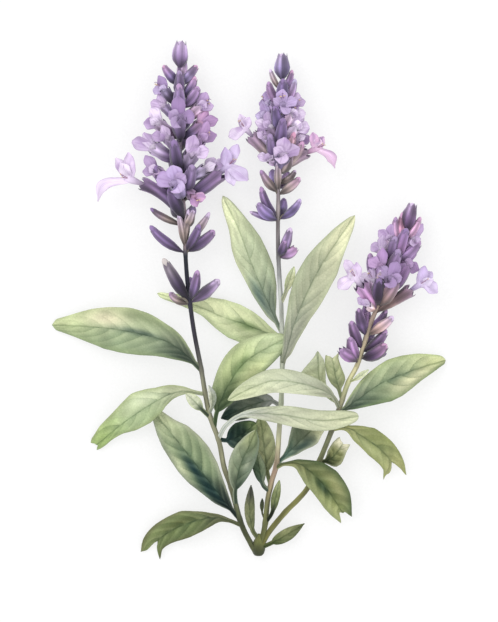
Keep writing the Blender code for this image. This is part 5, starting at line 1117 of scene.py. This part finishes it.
def add_flower(calyces, corollas, threads, cast, flower, line, seed):
    """One flower of a spike: its calyx, and its bud tip or its two-lipped corolla."""
    rule = np.random.default_rng(seed)
    path = flower_path(flower, line, 33)
    frames = outward_frames(path, line)
    size = flower.size
    calyx = np.array(CALYX_TONES[flower.tones[0]]) * rule.uniform(0.92, 1.1) * cast
    petal = np.array(COROLLA_TONES[flower.tones[1]]) * rule.uniform(0.96, 1.03)
    if flower.kind == "bud":
        body, around = path[:30], [row[:30] for row in frames]
        add_cup(calyces, body, around, CLOSED_CALYX, size * 0.98, calyx, petal, seed)
        share = np.linspace(0.5, 1, 12)
        centre, tangent, normal, across = along_path(path, frames, share)
        turn = full_turn(12)
        radius = np.interp(share, (0.5, 0.72, 0.86, 0.96, 1.0), (1.0, 2.3, 2.1, 1.5, 0.5)) * size
        tone = mix(petal * 0.8, petal, smooth(0.7, 1, share))[:, None]
        add_tube(corollas, rings(centre, radius, turn, normal, across), tone, phase=turn)
        return
    body, around = path[:int(33 * CALYX_END)], [row[:int(33 * CALYX_END)] for row in frames]
    if flower.kind == "bloom":
        body, around = path[:30], [row[:30] for row in frames]
    add_cup(calyces, body, around, OPEN_CALYX, size * 0.98, calyx, petal, seed)
    if flower.kind == "hood":
        add_corolla(corollas, path, line, size, petal, seed + 1)
        if rule.random() < 0.3:
            add_stamens(threads, path, frames, size, seed + 3)


def spike_pieces(side, points, calyx_skin, petal_skin, stem_skin, seed):
    """One flower spike: its axis, calyces, corollas, and its stamens and bracts."""
    line = curve(points, np.linspace(0, 1, 400))
    calyces, corollas, threads, axis = Shape(), Shape(), Shape(), Shape()
    add_stem(axis, side, points, SPIKE_START[side] - 1.0, points[-1][1], 14, seed)
    for number, flower in enumerate(SPIKES[side]):
        add_flower(calyces, corollas, threads, CASTS[side], flower, line, seed + 31 * number)
        if number % 3 == 0 and flower.bend:
            foot, along = axis_point(line, flower.base - 1.0)
            out = np.array(flower.tip) - foot
            out = unit(out - along * out.dot(along))
            tip = foot + out * 6.5 * flower.size + along * 4.5
            tint = BRACT_TONES[number % len(BRACT_TONES)]
            add_bract(threads, foot + out * 0.8, tip, along - out, 3.0 * flower.size, tint,
                      seed + number)
    node = "flower_spike_" + side
    axis.build(f"spike_{side}_axis", node, "sage_stem", stem_skin)
    calyces.build(f"spike_{side}_calyces", node, "sage_calyx", calyx_skin)
    corollas.build(f"spike_{side}_corollas", node, "sage_petal", petal_skin)
    threads.build(f"spike_{side}_stamens", node, "sage_calyx", calyx_skin)


def bloom_piece(bloom, line, material, seed):
    """A large open corolla: a ribbed tube, a two-lobed upper lip, a lower lip and its stamens."""
    rule = np.random.default_rng(seed)
    calyx = next(flower for flower in SPIKES[bloom.spike]
                 if flower.kind == "bloom" and flower.tip == bloom.mouth)
    path = flower_path(calyx, line, 33)
    along = unit(path[-1] - path[-5])
    size = bloom.size
    shape = Shape()
    tube_path = np.array([path[-1] + along * reach for reach in np.linspace(-4.5, 7.4, 26)])
    frames = outward_frames(tube_path, line)
    share = np.linspace(0, 1, 26)
    turn = full_turn(22)
    radius = np.interp(share, (0, 0.35, 0.6, 0.85, 1.0), (1.0, 1.35, 1.9, 2.3, 2.1)) * size
    ribs = 1 + 0.05 * np.cos(8 * turn)[None, :]
    grid = rings(tube_path, radius[:, None] * ribs, turn, *frames[1:])
    tint = np.array(COROLLA_TONES[bloom.tone])
    tone = mix(tint * 0.82, mix(tint, THROAT, 0.3), smooth(0.3, 0.9, share))[:, None]
    add_tube(shape, grid, tone, phase=turn * 1.3)
    heart = path[-1] + along * 4.5
    first, second, side = (np.array(point) for point in (*bloom.upper, bloom.side))
    lip = (3.0, bloom.lip_width * 0.75, bloom.lip_width * 1.08, bloom.end_width * 1.5)
    lobes = ((bowed(heart, first, 1.0), (3.0, 6.4, 6.2, 4.4), 0.35, 0.35),
             (bowed(heart, second, 2.0), (3.0, 6.0, 6.4, 4.0), 0.15, 0.35),
             ((heart, *bloom.lower), lip, 0.35, 0.5),
             (bowed(heart, side, 1.0), (2.6, 5.4, 6.4, 4.0), 0.5, 0.35))
    for number, (points, widths, fade, frill) in enumerate(lobes, 1):
        add_lobe(shape, points, widths, size, UP, mix(tint, THROAT, fade), seed + number, frill)
    for lean in (-0.8, 0.8):
        tip = heart + along * rule.uniform(4, 6) + UP * rule.uniform(3, 5) + frames[2][0] * lean
        add_thread(shape, bowed(heart, tip, 1.0), (0.22, 0.18, 0.16), STAMEN)
        add_thread(shape, (tip - UP * 0.6, tip, tip + UP * 0.6), (0.15, 0.45, 0.15), ANTHER, 6, 6)
    shape.build(bloom.name + "_corolla", bloom.name, "sage_petal", material)


def flower_pieces(stem_skin):
    """The three spikes and the six large corollas."""
    calyx_skin = plant_material("sage_calyx_skin", 0.35, 0.6, 0.35, 2200.0)
    petal_skin = plant_material("sage_petal_skin", 0.10, 0.55, 0.25, 1500.0)
    for number, (side, points) in enumerate(STEMS.items()):
        spike_pieces(side, points, calyx_skin, petal_skin, stem_skin, 3000 + 5000 * number)
    for number, bloom in enumerate(BLOOMS):
        line = curve(STEMS[bloom.spike], np.linspace(0, 1, 400))
        bloom_piece(bloom, line, petal_skin, 700 + 11 * number)


# --- materials ---


class Nodes:
    """A node tree in the making, with short calls for the nodes that these materials use."""

    def __init__(self, name):
        self.material = bpy.data.materials.new(name)
        self.material.use_nodes = True
        self.tree = self.material.node_tree
        self.shader = self.tree.nodes["Principled BSDF"]

    def put(self, socket, value):
        """Link a node's output to the socket, or set the socket to a constant."""
        if isinstance(value, bpy.types.NodeSocket):
            self.tree.links.new(value, socket)
        else:
            socket.default_value = value

    def node(self, kind, **settings):
        """A new node with its settings."""
        new = self.tree.nodes.new(kind)
        for name, value in settings.items():
            setattr(new, name, value)
        return new

    def value(self, name, output="Fac"):
        """A value that rides on the mesh."""
        return self.node("ShaderNodeAttribute", attribute_name=name).outputs[output]

    def math(self, operation, *inputs):
        """One arithmetic step."""
        new = self.node("ShaderNodeMath", operation=operation)
        for socket, value in zip(new.inputs, inputs):
            self.put(socket, value)
        return new.outputs[0]

    def ramp(self, value, low, high, start=0.0, end=1.0):
        """An even S from start at low to end at high."""
        new = self.node("ShaderNodeMapRange", interpolation_type="SMOOTHSTEP")
        for name, setting in (("Value", value), ("From Min", low), ("From Max", high),
                              ("To Min", start), ("To Max", end)):
            self.put(new.inputs[name], setting)
        return new.outputs["Result"]

    def blend(self, kind, share, one, other):
        """Two colours mixed by a share."""
        new = self.node("ShaderNodeMix", data_type="RGBA", blend_type=kind)
        self.put(new.inputs["Factor"], share)
        self.put(new.inputs[6], one)
        self.put(new.inputs[7], other)
        return new.outputs[2]

    def noise(self, place, scale, detail=3.0):
        """Smooth noise of a scale in cycles a metre."""
        new = self.node("ShaderNodeTexNoise")
        self.put(new.inputs["Vector"], place)
        new.inputs["Scale"].default_value = scale
        new.inputs["Detail"].default_value = detail
        return new.outputs["Fac"]

    def times(self, value, factor):
        """A value times another, or times a constant."""
        return self.math("MULTIPLY", value, factor)

    def to_middle(self, value):
        """How far the fraction of a value is from one half."""
        return self.math("ABSOLUTE", self.math("SUBTRACT", self.math("FRACT", value), 0.5))

    def cells(self, place, scale):
        """Distance to the edges of irregular cells."""
        new = self.node("ShaderNodeTexVoronoi", feature="DISTANCE_TO_EDGE")
        self.put(new.inputs["Vector"], place)
        new.inputs["Scale"].default_value = scale
        return new.outputs["Distance"]

    def position(self):
        """Coordinates on the piece, in metres."""
        return self.node("ShaderNodeTexCoord").outputs["Object"]

    def bump(self, height, distance, strength=1.0):
        """A relief of so many metres."""
        new = self.node("ShaderNodeBump")
        self.put(new.inputs["Height"], height)
        new.inputs["Distance"].default_value = distance
        new.inputs["Strength"].default_value = strength
        self.put(self.shader.inputs["Normal"], new.outputs["Normal"])


def leaf_material():
    """A felted, quilted leaf: darker veins and net, pale felt, and a matt sheen."""
    nodes = Nodes("sage_leaf_felt")
    place = nodes.position()
    tint = nodes.value("tint", "Color")
    across = nodes.math("ABSOLUTE", nodes.value("across"))
    under = nodes.value("under")
    rib = nodes.ramp(across, 0.22, 0.62, 1.0, 0.0)
    vein = nodes.ramp(nodes.to_middle(nodes.value("phase")), 0.43, 0.495, 0.0, 1.0)
    vein = nodes.times(vein, nodes.ramp(nodes.value("edge"), 0.55, 0.98, 1.0, 0.0))
    vein = nodes.times(vein, nodes.value("force"))
    line = nodes.math("MAXIMUM", rib, nodes.times(vein, 0.75))
    net = nodes.ramp(nodes.cells(place, 620.0), 0.02, 0.16, 1.0, 0.0)
    felt = nodes.noise(place, 2600.0, 2.0)
    wash = nodes.noise(place, 240.0, 4.0)
    dark = nodes.blend("MULTIPLY", 1.0, tint, (0.50, 0.56, 0.47, 1.0))
    pale = nodes.blend("MULTIPLY", 1.0, tint, (1.5, 1.45, 1.5, 1.0))
    toned = nodes.blend("MIX", nodes.times(line, 0.62), tint, dark)
    toned = nodes.blend("MIX", nodes.times(net, 0.16), toned, dark)
    toned = nodes.blend("MIX", nodes.ramp(wash, 0.55, 0.8, 0.0, 0.4), toned, pale)
    toned = nodes.blend("MIX", nodes.ramp(felt, 0.5, 0.75, 0.0, 0.22), toned, pale)
    ribbed = nodes.blend("MIX", nodes.times(line, 0.6), tint, pale)
    colour = nodes.blend("MIX", under, toned, ribbed)
    nodes.put(nodes.shader.inputs["Base Color"], colour)
    nodes.put(nodes.shader.inputs["Roughness"], nodes.ramp(wash, 0.3, 0.7, 0.62, 0.8))
    nodes.put(nodes.shader.inputs["Sheen Weight"], 0.05)
    nodes.put(nodes.shader.inputs["Sheen Roughness"], 0.5)
    nodes.put(nodes.shader.inputs["Specular IOR Level"], 0.12)
    height = nodes.math("SUBTRACT", nodes.times(felt, 0.25), nodes.times(net, 0.5))
    height = nodes.math("SUBTRACT", height, nodes.times(line, 0.7))
    nodes.bump(height, 0.00028, 0.7)
    return nodes.material


def plant_material(name, streak, roughness, sheen, fineness):
    """A ribbed skin whose colour rides on the mesh, with fine streaks, felt and a soft sheen."""
    nodes = Nodes(name)
    place = nodes.position()
    tint = nodes.value("tint", "Color")
    fine = nodes.noise(place, fineness, 3.0)
    broad = nodes.noise(place, fineness / 9, 3.0)
    dark = nodes.blend("MULTIPLY", 1.0, tint, (0.45, 0.42, 0.48, 1.0))
    pale = nodes.blend("MULTIPLY", 1.0, tint, (1.25, 1.25, 1.22, 1.0))
    line = nodes.ramp(nodes.to_middle(nodes.value("phase")), 0.4, 0.5, 0.0, streak)
    toned = nodes.blend("MIX", line, tint, dark)
    toned = nodes.blend("MIX", nodes.ramp(broad, 0.5, 0.8, 0.0, 0.35), toned, pale)
    toned = nodes.blend("MIX", nodes.ramp(broad, 0.5, 0.2, 0.0, 0.35), toned, dark)
    toned = nodes.blend("MIX", nodes.ramp(fine, 0.5, 0.8, 0.0, 0.2), toned, pale)
    nodes.put(nodes.shader.inputs["Base Color"], toned)
    nodes.put(nodes.shader.inputs["Roughness"], nodes.ramp(broad, 0.3, 0.7, roughness - 0.08,
                                                           roughness + 0.08))
    nodes.put(nodes.shader.inputs["Sheen Weight"], sheen)
    nodes.put(nodes.shader.inputs["Specular IOR Level"], 0.16)
    height = nodes.math("SUBTRACT", nodes.times(fine, 0.4), line)
    nodes.bump(height, 0.00015, 0.6)
    return nodes.material


def paper_material():
    """The pale matt floor, which glows a little, like a lit table."""
    nodes = Nodes("pale_floor")
    grain = nodes.noise(nodes.position(), 900.0, 2.0)
    colour = nodes.blend("MIX", nodes.ramp(grain, 0.3, 0.7), (0.24, 0.24, 0.24, 1.0),
                         (0.26, 0.26, 0.26, 1.0))
    nodes.put(nodes.shader.inputs["Base Color"], colour)
    nodes.put(nodes.shader.inputs["Roughness"], 0.9)
    nodes.put(nodes.shader.inputs["Specular IOR Level"], 0.1)
    nodes.put(nodes.shader.inputs["Emission Color"], (1.0, 1.0, 1.0, 1.0))
    nodes.put(nodes.shader.inputs["Emission Strength"], FLOOR_GLOW)
    return nodes.material


# --- camera, lights and floor ---

LENS = 100.0               # of a 36 mm sensor
SENSOR = 36.0
VIEW_HEIGHT = 342.1        # what the picture takes in from top to bottom, at the bunch's middle
VIEW_PLANE = 12.0          # the height of that middle above the surface
VIEW_SHIFT = (-0.05, -5.3)  # the picture's centre, from the centre of the bunch's box
FLOOR_GLOW = 0.675
WORLD_LIGHT = 1.2
KEY_POWER = 5.4            # watts
FILL_POWER = 1.8


def add_camera():
    """A camera that looks straight down on the bunch, with the flower tips at the top."""
    data = bpy.data.cameras.new("camera")
    data.lens = LENS
    data.sensor_width = SENSOR
    data.clip_start, data.clip_end = 0.05, 20.0
    camera = bpy.data.objects.new("camera", data)
    bpy.context.scene.collection.objects.link(camera)
    low, high = cad_box
    distance = VIEW_HEIGHT * LENS / SENSOR
    camera.location = ((low[0] + high[0]) / 2 + VIEW_SHIFT[0] * MM,
                       (low[1] + high[1]) / 2 + VIEW_SHIFT[1] * MM,
                       (VIEW_PLANE + distance) * MM)
    bpy.context.scene.camera = camera


def add_light(name, place, size, power):
    """A soft square lamp that faces the bunch."""
    data = bpy.data.lights.new(name, "AREA")
    data.size = size
    data.energy = power
    lamp = bpy.data.objects.new(name, data)
    bpy.context.scene.collection.objects.link(lamp)
    centre = (cad_box[0] + cad_box[1]) / 2
    lamp.location = centre + type(centre)(place)
    lamp.rotation_euler = (centre - lamp.location).to_track_quat("-Z", "Y").to_euler()


def add_surroundings():
    """The floor that the bunch lies on, the even light all round, and two soft lamps."""
    mesh = bpy.data.meshes.new("floor")
    reach, depth = 3.0, -0.0003
    mesh.from_pydata([(-reach, -reach, depth), (reach, -reach, depth), (reach, reach, depth),
                      (-reach, reach, depth)], [], [(0, 1, 2, 3)])
    mesh.materials.append(paper_material())
    floor = bpy.data.objects.new("floor", mesh)
    bpy.context.scene.collection.objects.link(floor)
    world = bpy.data.worlds.new("studio")
    world.use_nodes = True
    world.node_tree.nodes["Background"].inputs["Color"].default_value = (1.0, 1.0, 1.0, 1.0)
    world.node_tree.nodes["Background"].inputs["Strength"].default_value = WORLD_LIGHT
    bpy.context.scene.world = world
    add_light("key", (-0.7, 0.55, 1.1), 0.9, KEY_POWER)
    add_light("fill", (0.9, -0.5, 1.0), 1.2, FILL_POWER)
    bpy.context.scene.view_settings.view_transform = "Standard"


def main():
    """Build every piece, then the surroundings."""
    leaf_skin = leaf_material()
    stem_skin = plant_material("sage_stem_skin", 0.0, 0.62, 0.15, 1800.0)
    lines = [curve(points, np.linspace(0, 1, 400)) for points in STEMS.values()]
    for number, leaf in enumerate(LEAVES):
        leaf_piece(leaf, lines, leaf_skin, 100 + 17 * number)
    stem_pieces(stem_skin)
    flower_pieces(stem_skin)
    add_camera()
    add_surroundings()


main()
